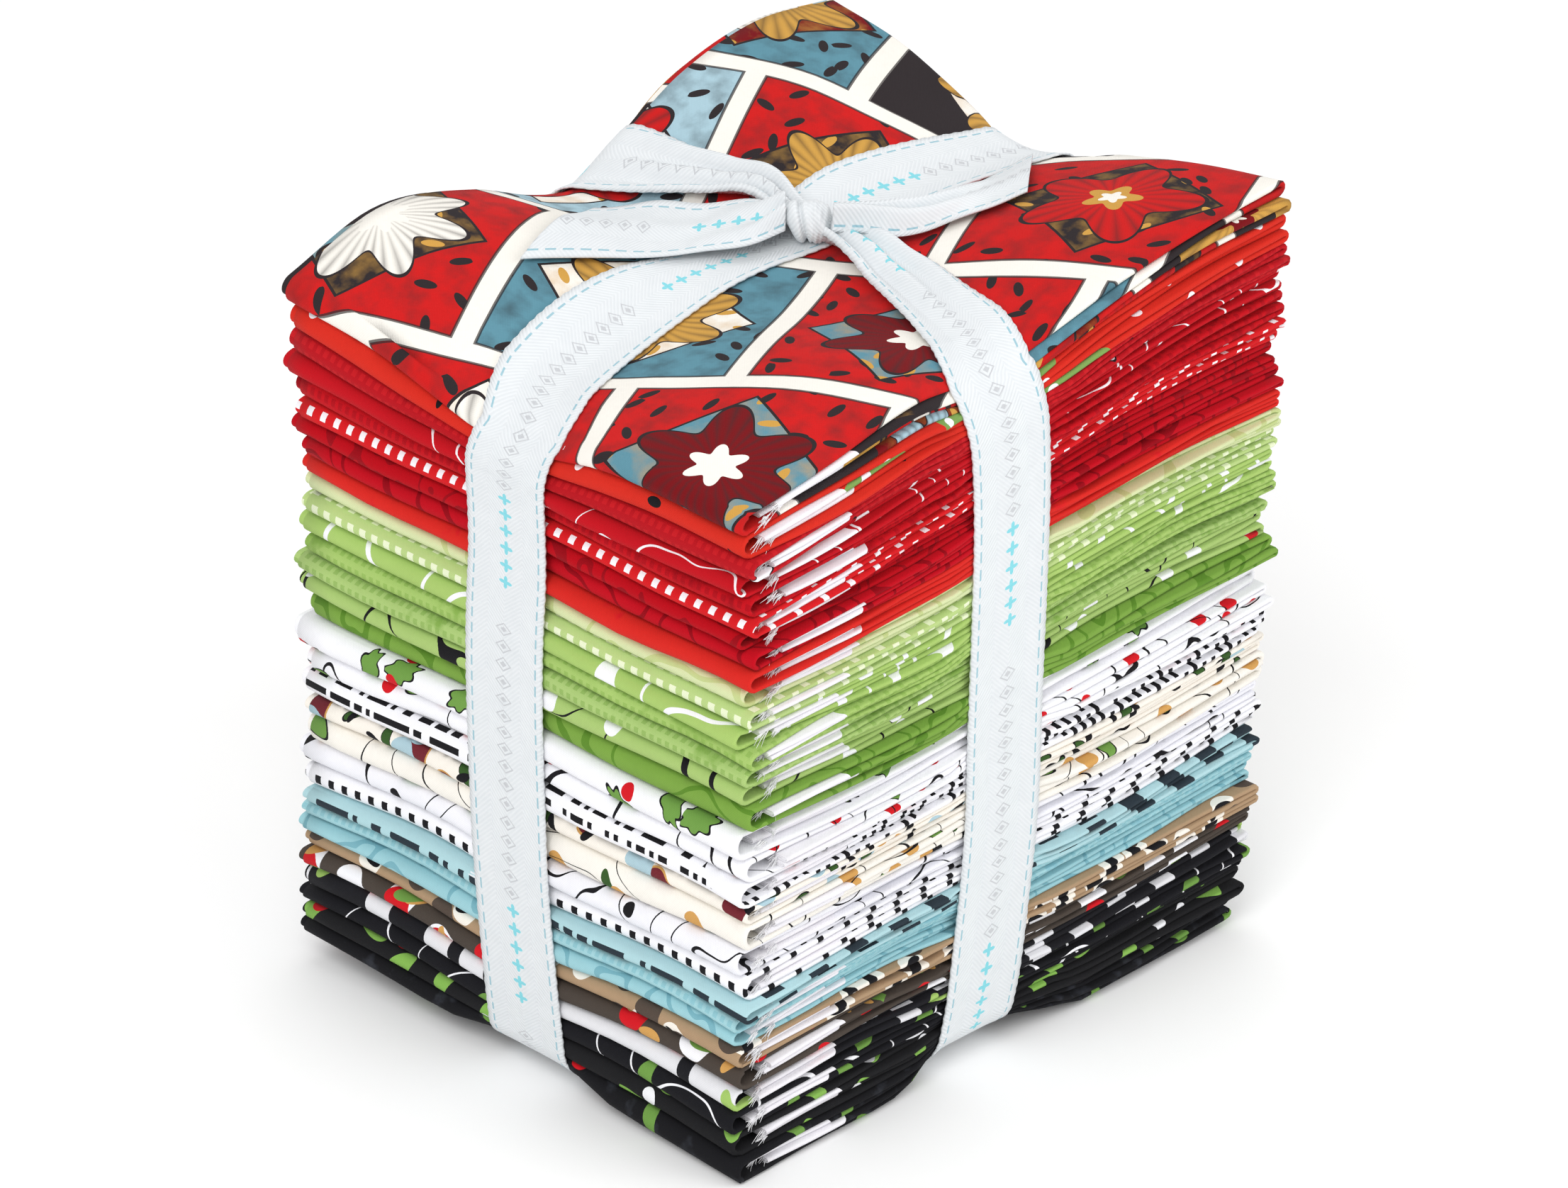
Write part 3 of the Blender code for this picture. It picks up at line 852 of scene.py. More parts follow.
    def finish(self, graph: Graph, place: Value, colour: object) -> None:
        """Feeds colour, weave and the matt surface of cotton to the shader. The colour is darkened by painted
        shade that follows the weave's threads, and by a random cloudy tone.

        Args:
            graph: The material's graph.
            place: The place in the cut cloth.
            colour: The cloth's colour.
        """
        weave = graph.effect(plain_weave, place=place, pitch=self.weave_pitch * MM)["height"]
        # painted shade: darker where the weave's relief is low, times a random cloudy tone
        shade = weave * 0.14 + (graph.cloud(place, 55.0, 3.0) * 0.14 + 0.83)
        tone = graph.add("CombineColor", {0: shade, 1: shade, 2: shade})
        graph.dress(graph.mix(1.0, colour, tone, "MULTIPLY"), weave, 0.45, 0.00008, self.SURFACE)


@dataclass(frozen=True)
class TwillTape:
    """The finish of the white herringbone tape, with a dashed line woven along both edges."""

    name: str = "twill_tape"
    printed: bool = True
    half_width: float = 9.8
    edge_inset: float = 1.6
    dash_pitch: float = 0.0033
    motif_pitch: float = 0.0036
    white: Colour = paint(226, 229, 231)
    # painted shade colour for the herringbone ribs, also used for a random cloudy tone
    shade: Colour = paint(176, 184, 190)
    dash_colour: Colour = paint(150, 188, 200)
    flower_colour: Colour = paint(126, 205, 216)
    grey: Colour = paint(184, 186, 190)

    SURFACE = {"Roughness": 0.78, "Sheen Weight": 0.08, "Sheen Roughness": 0.4}

    def material(self) -> bpy.types.Material:
        """The tape's material, with painted shade along its herringbone ribs. Its UV map runs across the tape in
        u and along it in v, in metres.

        Returns:
            The material.
        """
        material, graph = new_material(self.name)
        place = graph.add("UVMap", {}, "UV", uv_map="cut")
        across, along = graph.parts(place)
        height = graph.effect(herringbone, along=along, across=across, rib=0.00095, stripe=0.0042)["height"]
        # painted shade: the ribs' relief and a random cloud pull the white towards the darker colour
        colour = graph.mix((height * 0.7 + graph.cloud(place, 260.0, 3.0)) * 0.24, self.white, self.shade)
        if self.printed:
            line = (self.half_width - self.edge_inset) * MM
            on_line = abs(abs(across) - line) < 0.0002
            dash = on_line * (graph.fraction(along / self.dash_pitch) < 0.62)
            colour = self.motifs(graph, across, along, graph.mix(dash, colour, self.dash_colour))
            height = dash * -0.8 + height
        graph.dress(colour, height, 0.55, 0.00012, self.SURFACE)
        return material

    def motifs(self, graph: Graph, across: Value, along: Value, colour: Value) -> Value:
        """Prints a plain trim along the middle: a run of small grey diamonds, then a short run of aqua flowers.

        Args:
            graph: The material's graph.
            across: The place across the tape.
            along: The place along it.
            colour: The colour so far.

        Returns:
            The colour with the trim over it.
        """
        step = along / self.motif_pitch
        local = (graph.fraction(step) - 0.5) * self.motif_pitch
        size = abs(local) + abs(across) * 0.7
        diamond = graph.math("MAXIMUM", size < 0.0006, abs(size - 0.0013) < 0.00016)
        turn = graph.floor(step) % 24.0
        colour = graph.mix((turn > 7.5) * diamond * 0.8, colour, self.grey)
        flower = graph.effect(figure, local=graph.joined(across, local), radius=0.0016, lobes=4.0, depth=0.6,
                              squash=0.85)
        return graph.mix((turn < 6.0) * (flower["inside"] > 0.0), colour, self.flower_colour)


def cotton_thread() -> bpy.types.Material:
    """The finish of a loose thread: off-white, faintly uneven.

    Returns:
        The material.
    """
    material, graph = new_material("cotton_thread")
    cloud = graph.cloud(graph.add("TexCoord", {}, "Object"), 400.0, 2.0)
    colour = graph.mix(cloud, paint(244, 243, 247), paint(252, 252, 253))
    graph.dress(colour, cloud, 0.3, 0.00005, {"Roughness": 0.9})
    return material


WHITE = paint(240, 240, 244)
WARM_WHITE = paint(240, 234, 224)
INK = paint(28, 27, 30)
RED = paint(206, 26, 36)
DEEP_RED = paint(146, 8, 22)
GREEN = paint(110, 152, 72)
LIGHT_GREEN = paint(160, 194, 104)
DARK_GREEN = paint(56, 88, 42)
GOLD = paint(206, 156, 88)
SCATTER, CONTOUR, STROKES, CHECKS, CLOUD = Kind


def leaves(colour: Colour, spacing: float = 11.0, size: float = 3.6, share: float = 0.8,
           outline: Colour | None = None) -> Motif:
    """Long leaves, strewn."""
    return Motif(SCATTER, colour, spacing, size, 0.0, 0.0, 0.42, share, outline)


def basket(colour: Colour) -> Motif:
    """A fine tone-on-tone basket texture."""
    return Motif(CHECKS, colour, 1.9, 0.55, share=0.5)


def mottle(colour: Colour, spacing: float = 6.0) -> Motif:
    """Soft patches."""
    return Motif(CLOUD, colour, spacing, 0.56)


def dots(colour: Colour, spacing: float, size: float, share: float = 0.8) -> Motif:
    """Round dots, strewn."""
    return Motif(SCATTER, colour, spacing, size, share=share)


COTTONS = (
    Cotton("patches", "print_picture", WARM_WHITE, patches=True),
    Cotton("green_rounds", "cotton_dark_green", paint(206, 44, 32),
           (dots(paint(122, 158, 84), 46.0, 17.0, 0.45), leaves(INK, 9.0, 1.6, 0.5),
            dots(WHITE, 14.0, 1.2, 0.4))),
    Cotton("white_flowers", "cotton_bright_red", paint(176, 20, 30),
           (basket(paint(204, 34, 40)),
            Motif(SCATTER, WHITE, 27.0, 3.4, 5.0, 0.4, share=0.5, outline=INK))),
    Cotton("lace", "cotton_deep_red", paint(186, 18, 30),
           (Motif(CONTOUR, WHITE, 30.0, 0.03), dots(WHITE, 26.0, 2.0, 0.3))),
    Cotton("tonal_red", "cotton_deep_red", paint(188, 16, 28), (basket(DEEP_RED), mottle(DEEP_RED))),
    Cotton("stepped_red", "cotton_deep_red", paint(206, 28, 34), (Motif(CHECKS, WHITE, 3.4, 0.4),)),
    Cotton("crackled_red", "cotton_deep_red", paint(178, 8, 24), (Motif(CONTOUR, DEEP_RED, 14.0, 0.12),)),
    Cotton("swirled_crimson", "cotton_deep_red", paint(184, 10, 28),
           (Motif(CONTOUR, paint(142, 4, 20), 22.0, 0.09),)),
    Cotton("plain_red", "cotton_bright_red", paint(208, 40, 34), (Motif(CLOUD, RED, 5.0, 0.62),)),
    Cotton("celery", "cotton_celery", paint(208, 218, 168),
           (dots(INK, 17.0, 0.9, 0.4), Motif(CONTOUR, paint(190, 204, 140), 30.0, 0.1))),
    Cotton("squared_green", "cotton_lime", paint(180, 204, 132),
           (Motif(CHECKS, paint(226, 234, 200), 3.2, 0.5),)),
    Cotton("lime_swirl", "cotton_lime", paint(164, 194, 108), (Motif(CONTOUR, WHITE, 34.0, 0.07),)),
    Cotton("tonal_lime", "cotton_lime", paint(162, 192, 108),
           (basket(paint(128, 166, 74)), mottle(paint(136, 172, 82)))),
    Cotton("tonal_green", "cotton_green", paint(166, 194, 118),
           (basket(paint(122, 160, 72)), mottle(paint(130, 166, 80), 7.0))),
    Cotton("outlined_green", "cotton_green", paint(164, 192, 114),
           (Motif(CONTOUR, INK, 40.0, 0.022), dots(WHITE, 16.0, 2.0, 0.4), dots(RED, 19.0, 1.6, 0.35))),
    Cotton("dark_swirl", "cotton_dark_green", paint(120, 158, 68),
           (Motif(CONTOUR, paint(92, 134, 46), 20.0, 0.1),)),
    Cotton("holly", "cotton_white", WHITE,
           (Motif(SCATTER, GREEN, 13.0, 5.0, 7.0, 0.28, 0.55, 0.8, INK), dots(RED, 12.0, 1.5, 0.45))),
    Cotton("berries", "cotton_white", WHITE,
           (dots(RED, 10.0, 1.8, 0.5), Motif(CONTOUR, INK, 26.0, 0.03), leaves(GREEN, 13.0, 3.4, 0.5, INK))),
    Cotton("small_rows", "cotton_white", WHITE, (Motif(STROKES, INK, 2.6, 1.1), dots(WHITE, 26.0, 8.0, 0.4))),
    Cotton("mixed_bunting", "cotton_tan", WARM_WHITE,
           (dots(GOLD, 9.0, 3.2, 0.4), dots(paint(112, 40, 48), 9.0, 2.8, 0.45),
            dots(paint(170, 198, 208), 12.0, 3.4, 0.4), leaves(DARK_GREEN, 10.0, 3.0, 0.5, INK),
            leaves(INK, 8.0, 1.8, 0.5))),
    Cotton("sprigs", "cotton_white", paint(240, 236, 228),
           (leaves(GREEN, 13.0, 4.4, 0.55, INK), leaves(DARK_GREEN, 15.0, 3.6, 0.5),
            dots(GOLD, 16.0, 2.2, 0.45), Motif(CONTOUR, INK, 36.0, 0.018))),
    Cotton("white_lace", "cotton_white", paint(236, 236, 242),
           (Motif(CONTOUR, INK, 24.0, 0.035), dots(INK, 12.0, 1.3, 0.4))),
    Cotton("stepped_white", "cotton_white", WHITE, (Motif(CHECKS, INK, 3.6, 0.42),)),
    Cotton("pale_aqua", "cotton_aqua", paint(172, 208, 214),
           (Motif(STROKES, paint(44, 54, 62), 11.0, 1.3),)),
    Cotton("aqua", "cotton_aqua", paint(160, 204, 211),
           (basket(paint(122, 180, 192)), mottle(paint(136, 188, 200), 7.0))),
    Cotton("deep_aqua", "cotton_aqua", paint(154, 200, 208),
           (Motif(CONTOUR, paint(122, 174, 186), 18.0, 0.1),)),
    Cotton("warm_medley", "cotton_tan", paint(170, 142, 112),
           (dots(paint(196, 60, 40), 9.0, 3.0, 0.4), dots(WARM_WHITE, 8.0, 3.0, 0.5),
            dots(paint(84, 72, 64), 9.0, 3.0, 0.5), leaves(INK, 8.0, 2.6, 0.5))),
    Cotton("brown_medley", "cotton_brown", paint(74, 66, 60),
           (dots(WHITE, 11.0, 3.6, 0.5), dots(RED, 12.0, 3.2, 0.45), leaves(GOLD, 9.0, 2.6, 0.5),
            leaves(GREEN, 13.0, 3.8, 0.5))),
    Cotton("black_cream", "cotton_black", paint(30, 30, 34),
           (Motif(STROKES, WHITE, 12.0, 3.2, share=0.85), leaves(LIGHT_GREEN, 18.0, 4.4, 0.4))),
    Cotton("black_lace", "cotton_black", paint(26, 26, 30),
           (Motif(CONTOUR, WHITE, 42.0, 0.02), leaves(GREEN, 22.0, 4.2, 0.35))),
    Cotton("black_leaves", "cotton_black", paint(30, 30, 32),
           (leaves(paint(132, 180, 84), 12.0, 4.6, 0.6), dots(WHITE, 22.0, 1.6, 0.4),
            dots(RED, 20.0, 1.8, 0.4))),
    Cotton("black_mottle", "cotton_black", paint(26, 26, 29),
           (mottle(paint(48, 50, 56), 5.0), dots(RED, 24.0, 1.8, 0.4), leaves(GREEN, 22.0, 3.6, 0.4))),
)


@dataclass(frozen=True)
class Folding:
    """How one cut of cotton is folded: its cut size, the places of its folds, and how closely it is sampled."""

    cut_width: float = 457.2
    cut_length: float = 558.8
    outer_turn_x: float = -67.5
    far_turn_x: float = 68.6
    far_reach: float = 0.85
    straight_steps: int = 25
    outer_steps: int = 9
    far_steps: int = 5
    ply_steps: int = 15
    fold_steps: int = 5


@dataclass
class Quarter:
    """One fat quarter: a single sheet folded four plies thick, then back and forth into four layers."""

    number: int
    bottom: float
    thickness: float
    cotton: Cotton
    lay: Lay
    folding: Folding = field(default_factory=Folding)

    PLY = 0.19
    LAYER_GAP = 0.06

    def __post_init__(self) -> None:
        """Draws this quarter's own places of its edges from its number."""
        chance = np.random.default_rng(100 + self.number)
        self.ply_pitch = (self.thickness - 3 * self.LAYER_GAP) / 16
        self.layer = 4 * self.ply_pitch
        self.raw_ends = chance.uniform(-65.5, -60.5, 2)
        self.offset = np.clip(chance.normal(0, 0.6, 2), -1.1, 0.9)
        self.turned = math.radians(float(np.clip(chance.normal(0, 0.25), -0.5, 0.5)))
        self.flipped = bool(chance.integers(2))

    def turn_back(self, centre: tuple[float, float], radii: tuple[float, float], start: float,
                  steps: int) -> tuple[Array, ...]:
        """Half an ellipse anticlockwise in the XZ plane, without its ends.

        Args:
            centre: X and Z of its middle.
            radii: Half lengths along X and Z.
            start: The angle it starts at, in degrees.
            steps: How many parts it has.

        Returns:
            X and Z of the points, and X and Z of the unit directions out from the middle.
        """
        angle = np.radians(start + 180 * np.arange(1, steps) / steps)
        out_x, out_z = np.cos(angle), np.sin(angle)
        return centre[0] + radii[0] * out_x, centre[1] + radii[1] * out_z, out_x, out_z

    def strip_path(self) -> tuple[Array, ...]:
        """The strip's line from one raw end to the other: third layer, top, outer fold, bottom, second layer.

        Returns:
            X and Z of its points, X and Z of the directions that are outward there, the lengths along it, and
            the number of the layer that each point belongs to.
        """
        fold = self.folding
        half = self.layer / 2
        heights = [self.bottom + half + step * (self.layer + self.LAYER_GAP) for step in range(4)]
        left, right = fold.outer_turn_x, fold.far_turn_x
        far_radii = (fold.far_reach, (self.layer + self.LAYER_GAP) / 2)
        outer_radii = (left + self.lay.half_length - half, (self.thickness - self.layer) / 2)

        def run(start: float, end: float, height: float, side: float) -> tuple[Array, ...]:
            """A straight layer."""
            places = np.linspace(start, end, fold.straight_steps)
            return places, np.full_like(places, height), np.zeros_like(places), np.full_like(places, side)

        parts = (
            run(self.raw_ends[0], right, heights[2], -1.0),
            self.turn_back((right, (heights[2] + heights[3]) / 2), far_radii, -90, fold.far_steps),
            run(right, left, heights[3], 1.0),
            self.turn_back((left, self.bottom + self.thickness / 2), outer_radii, 90, fold.outer_steps),
            run(left, right, heights[0], -1.0),
            self.turn_back((right, (heights[0] + heights[1]) / 2), far_radii, -90, fold.far_steps),
            run(right, self.raw_ends[1], heights[1], 1.0),
        )
        x, z, out_x, out_z = (np.concatenate(axis) for axis in zip(*parts))
        layer = np.concatenate([np.full(len(part[0]), number) for number, part in enumerate(parts)])
        lengths = np.concatenate([[0.0], np.cumsum(np.hypot(np.diff(x), np.diff(z)))])
        return x, z, out_x, out_z, lengths * fold.cut_length / lengths[-1], layer

    def ply_path(self) -> tuple[Array, Array, Array]:
        """The line across the strip through its four plies: round the -Y fold, back, and in between again.

        Returns:
            Y of its points, their offsets from the layer's middle, and the lengths along it.
        """
        fold = self.folding
        pitch = self.ply_pitch
        width = self.lay.half_width
        inner = width - 1.2 * pitch
        offsets = (1.5 * pitch, -1.5 * pitch, -0.5 * pitch, 0.5 * pitch)

        def ply(start: float, end: float, offset: float) -> tuple[Array, Array]:
            """A straight ply."""
            return np.linspace(start, end, fold.ply_steps), np.full(fold.ply_steps, offset)

        def bend(side: float, reach: float, start: float, end: float) -> tuple[Array, Array]:
            """The half circle between two plies."""
            angle = np.pi * np.arange(1, fold.fold_steps) / fold.fold_steps
            middle, radius = (start + end) / 2, abs(start - end) / 2
            return side * (reach - radius + radius * np.sin(angle)), middle + (start - end) / 2 * np.cos(angle)

        parts = (
            ply(width - 1.6, -(width - 1.5 * pitch), offsets[0]),
            bend(-1, width, offsets[0], offsets[1]),
            ply(-(width - 1.5 * pitch), width - 0.5 * pitch, offsets[1]),
            bend(1, width, offsets[1], offsets[2]),
            ply(width - 0.5 * pitch, -(inner - 0.5 * pitch), offsets[2]),
            bend(-1, inner, offsets[2], offsets[3]),
            ply(-(inner - 0.5 * pitch), width - 3.0, offsets[3]),
        )
        y, offset = (np.concatenate(axis) for axis in zip(*parts))
        lengths = np.concatenate([[0.0], np.cumsum(np.hypot(np.diff(y), np.diff(offset)))])
        return y, offset, lengths * fold.cut_width / lengths[-1]

    def laid(self) -> tuple[tuple[Array, Array, Array], tuple[Array, Array]]:
        """Places every point of the cut: path(v) + outward(v) · offset(u), with edges that wander a little.

        Returns:
            X, Y and Z grids of the folded sheet, and the grids of its flat places.
        """
        lay = self.lay
        path_x, path_z, out_x, out_z, along, layer = (axis[:, None] for axis in self.strip_path())
        path_y, offset, across = (axis[None, :] for axis in self.ply_path())
        seed = 1000 + 10 * self.number
        near = Wander(seed, (70.0,), 0.45).at(along) + Wander(seed + 1, (400.0,), 0.5).at(along + 40 * layer)
        far = Wander(seed + 2, (90.0,), 0.5).at(along)
        toward_near = np.clip(-path_y / lay.half_width, 0, 1) ** 2
        toward_far = np.clip(path_y / lay.half_width, 0, 1) ** 2
        x = path_x + out_x * offset
        y = path_y + toward_near * near + toward_far * far + 0 * x
        z = path_z + out_z * offset + 0 * y
        ends = Wander(seed + 3, (55.0, 3.0), 0.3).at(y, layer.astype(float))
        x = x + ends * (np.abs(x) / lay.half_length) ** 3
        x, y = self.shifted(x, y)
        x, y = self.pressed(x, y, z)
        x, y, z = lay.settled(x, y, z)
        flat_length = self.folding.cut_length - along if self.flipped else along
        return (x, y, z), (across + 0 * along, flat_length + 0 * across)

    def shifted(self, x: Array, y: Array) -> tuple[Array, Array]:
        """Turns and moves the folded quarter a little on the one below."""
        cosine, sine = math.cos(self.turned), math.sin(self.turned)
        return x * cosine - y * sine + self.offset[0], x * sine + y * cosine + self.offset[1]

    def pressed(self, x: Array, y: Array, z: Array) -> tuple[Array, Array]:
        """Holds the edges back under the two bands, to the plane that the tape lies on.

        Args:
            x, y, z: The folded quarter's places.

        Returns:
            X and Y with every edge under a band inside the stack's outline.
        """
        lay = self.lay
        reach = lay.tape_half + 3.4
        under_long = bump((y - lay.long_course(x, z)) / reach, 8)
        under_cross = bump((x - lay.cross_course(y, z)) / reach, 8)
        limit_x = lay.half_length - 0.15
        limit_y = lay.half_width - 0.15
        return (x + under_long * (np.clip(x, -limit_x, limit_x) - x),
                y + under_cross * (np.clip(y, -limit_y, limit_y) - y))

    def build(self) -> bpy.types.Object:
        """Makes the sheet, dresses it and puts it in its CAD solid's place.

        Returns:
            The piece.
        """
        points, flat = self.laid()
        obj = SheetMesh.build(f"fat_quarter_{self.number:02d}", points, flat)
        obj.data.materials.append(self.cotton.print_material())
        obj.data.materials.append(self.cotton.reverse_material())
        SheetMesh.thicken(obj, self.PLY, reverse_slot=1)
        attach(obj, "root")
        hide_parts(f"quarter_{self.number:02d}")
        below = f"quarter_{self.number + 1:02d}" if self.number < len(COTTONS) else []
        return obj


@dataclass
class Stack:
    """All the fat quarters, one on another."""

    lay: Lay
    quarters: list[Quarter] = field(default_factory=list)
    gap: float = 0.12
    top_folding: Folding = Folding(straight_steps=57, outer_steps=12, ply_steps=41, fold_steps=6)
    upper_folding: Folding = Folding(straight_steps=41, ply_steps=29)

    def build(self) -> list[bpy.types.Object]:
        """Makes the quarters from the top down.

        Returns:
            The pieces.
        """
        top = self.lay.height
        for number, (pitch, cotton) in enumerate(zip(PITCHES, COTTONS), 1):
            folding = self.top_folding if number == 1 else self.upper_folding if number < 8 else Folding()
            self.quarters.append(Quarter(number, top - pitch, pitch - self.gap, cotton, self.lay, folding))
            top -= pitch
        return [quarter.build() for quarter in self.quarters]


@dataclass
class Band:
    """One band of the tape: a closed loop round the stack, whose width over the top changes along its way."""

    name: str
    node: str
    lay: Lay
    tape: bpy.types.Material
    along_x: bool
    width_places: tuple[float, ...]
    width_halves: tuple[float, ...]
    lift: float = 0.3
    crossing_lift: float = 1.0
    crossing_reach: float = 15.0
    pleat_count: float = 1.3
    thickness: float = 0.4
    row_step: float = 0.62
    columns: int = 17
    scallop: float = 0.1
    scallop_pitch: float = 2.5

    def loop(self) -> tuple[Array, Array]:
        """A rounded rectangle round the square stack, starting at the middle of the top towards the low side.

        Returns:
            The places along the band's axis and their heights.
        """
        lay = self.lay
        half = (lay.half_length if self.along_x else lay.half_width) + self.lift
        low, high = -self.lift, lay.height + self.lift
        radius = 1.6
        arc = np.radians(np.linspace(0, 90, 6)[1:-1])

        def run(start: float, end: float) -> Array:
            """Places in a straight line."""
            return np.linspace(start, end, int(abs(end - start) / self.row_step) + 2)

        across_top = run(0, -half + radius)
        down = run(high - radius, low + radius)
        across_foot = run(-half + radius, half - radius)
        parts = (
            (across_top, np.full_like(across_top, high)),
            (-half + radius - radius * np.sin(arc), high - radius + radius * np.cos(arc)),
            (np.full_like(down, -half), down),
            (-half + radius - radius * np.cos(arc), low + radius - radius * np.sin(arc)),
            (across_foot, np.full_like(across_foot, low)),
            (half - radius + radius * np.sin(arc), low + radius - radius * np.cos(arc)),
            (np.full_like(down, half), down[::-1]),
            (half - radius + radius * np.cos(arc), high - radius + radius * np.sin(arc)),
            (-across_top[::-1][:-1], np.full(len(across_top) - 1, high)),
        )
        place, height = (np.concatenate(axis) for axis in zip(*parts))
        return place, height

    def points(self) -> tuple[tuple[Array, Array, Array], tuple[Array, Array]]:
        """Carries the tape's width along the loop, then settles every point as the cloth under it.

        Where the cross band is drawn narrower than the tape is, the spare width stands up in pleats:
        rise = 0.55 · spare · (1 + sin(2π · pleats · across + 0.9)) / 2. The woven edges are finely scalloped.

        Returns:
            X, Y and Z grids, and the grids of the flat places, with a last row that runs on past the first.
        """
        lay = self.lay
        place, height = (axis[:, None] for axis in self.loop())
        steps = np.hypot(np.diff(place[:, 0], append=place[0, 0]), np.diff(height[:, 0], append=height[0, 0]))
        run = np.concatenate([[0.0], np.cumsum(steps)])[:, None]
        side = np.linspace(-1, 1, self.columns)[None, :]
        on_top = ease((height - lay.height + 10) / 10)
        drawn = smooth_through(self.width_places, self.width_halves, place)
        half = lay.tape_half + (drawn - lay.tape_half) * on_top
        edge = self.scallop * np.sin(2 * np.pi * run[:-1] / self.scallop_pitch) * (np.abs(side) > 0.99)
        course = lay.long_course(place, height) if self.along_x else lay.cross_course(place, height)
        drift = Wander(41 if self.along_x else 42, (60.0,), 0.2).at(place + height)
        across = course + drift + side * (half + edge) * (1 if self.along_x else -1)
        crossing = 0.0 if self.along_x else self.crossing_lift
        over = crossing * (1 - ease((np.abs(place - 6) - self.crossing_reach) / 8))
        sign = np.where(height > lay.height / 2, 1.0, -1.0) * ease(np.abs(height - lay.height / 2) / 60)
        spare = np.clip(lay.tape_half - half, 0, None)
        pleat = 0.55 * spare * (1 + np.sin(2 * np.pi * self.pleat_count * side + 0.9)) / 2
        level = height + sign * over + (0 if self.along_x else 1) * pleat
        if self.along_x:
            x, y, z = lay.settled(place + 0 * across, across, level)
        else:
            x, y, z = lay.settled(across, place + 0 * across, level)
        return (x, y, z), (side * lay.tape_half + 0 * run, run + 0 * side)

    def build(self) -> bpy.types.Object:
        """Makes the band and puts it in its CAD solid's place.

        Returns:
            The piece.
        """
        points, flat = self.points()
        obj = SheetMesh.build(self.name, points, flat, ring=True)
        obj.data.materials.append(self.tape)
        SheetMesh.thicken(obj, self.thickness, offset=-1.0)
        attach(obj, "root")
        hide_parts(self.node)
        return obj


@dataclass
class Tail:
    """A free end of the tape. It leaves the knot gathered, opens out between its edges and ends in a cut."""

    name: str
    node: str
    lay: Lay
    tape: bpy.types.Material
    one_edge: tuple[tuple[float, float, float], ...]
    other_edge: tuple[tuple[float, float, float], ...]
    crease: float
    crease_height: float
    thickness: float = 0.4
    rows: int = 110
    columns: int = 21

    def edge(self, places: tuple[tuple[float, float, float], ...], share: Array) -> tuple[Array, float]:
        """A smooth curve through an edge's places, even in its length.

        Args:
            places: X and Y in the square stack, and the lift over the cloth there.
            share: Where it is read, 0 at the knot and 1 at the cut.

        Returns:
            One row of X, Y and lift per share, and the edge's length.
        """
        table = np.array(places)
        steps = np.hypot(*np.diff(table[:, :2], axis=0).T)
        length = float(steps.sum())
        knots = tuple(np.concatenate([[0.0], np.cumsum(steps)]) / length)
        return curve_weights(knots, share) @ table, length

    def points(self) -> tuple[tuple[Array, Array, Array], tuple[Array, Array]]:
        """Rules the sheet between its edges: one + (other - one) · t, at cloth + lift + crease + pleats.

        The crease is a ridge along the tape, height · exp(-((t - crease) / 0.16)²), lower towards the cut. The
        pleats stand up where the edges are nearer than the tape is wide.

        Returns:
            X, Y and Z grids and the grids of the flat places.
        """
        share = np.linspace(0, 1, self.rows)
        across = np.linspace(0, 1, self.columns)[None, :, None]
        one, one_length = self.edge(self.one_edge, share)
        other, other_length = self.edge(self.other_edge, share)
        spot = one[:, None, :] * (1 - across) + other[:, None, :] * across
        side = across[:, :, 0]
        along = share[:, None]
        x, y, cloth = self.lay.settled(spot[..., 0], spot[..., 1], np.full(spot.shape[:2], self.lay.height))
        width = np.hypot(*(other - one)[:, :2].T)[:, None]
        spare = np.clip(2 * self.lay.tape_half - width, 0, 12)
        pleat = 0.36 * spare * (1 - np.cos(2 * np.pi * 2 * side)) / 2
        ridge = self.crease_height * np.exp(-(((side - self.crease) / 0.16) ** 2)) * (1 - 0.75 * along)
        wave = Wander(77, (26.0, 1.6), 0.16).at(along * one_length, side)
        z = cloth + spot[..., 2] + ridge + pleat * (1 - 0.45 * along) + wave
        length = one_length * (1 - side) + other_length * side
        return (x, y, z), ((2 * side - 1) * self.lay.tape_half + 0 * along, along * length + 3.0)

    def build(self) -> bpy.types.Object:
        """Makes the tail and puts it in its CAD solid's place.

        Returns:
            The piece.
        """
        points, flat = self.points()
        obj = SheetMesh.build(self.name, points, flat)
        obj.data.materials.append(self.tape)
        SheetMesh.thicken(obj, self.thickness)
        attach(obj, "root")
        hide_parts(self.node)
        length = float(np.mean(flat[1][-1] - flat[1][0]))
        return obj


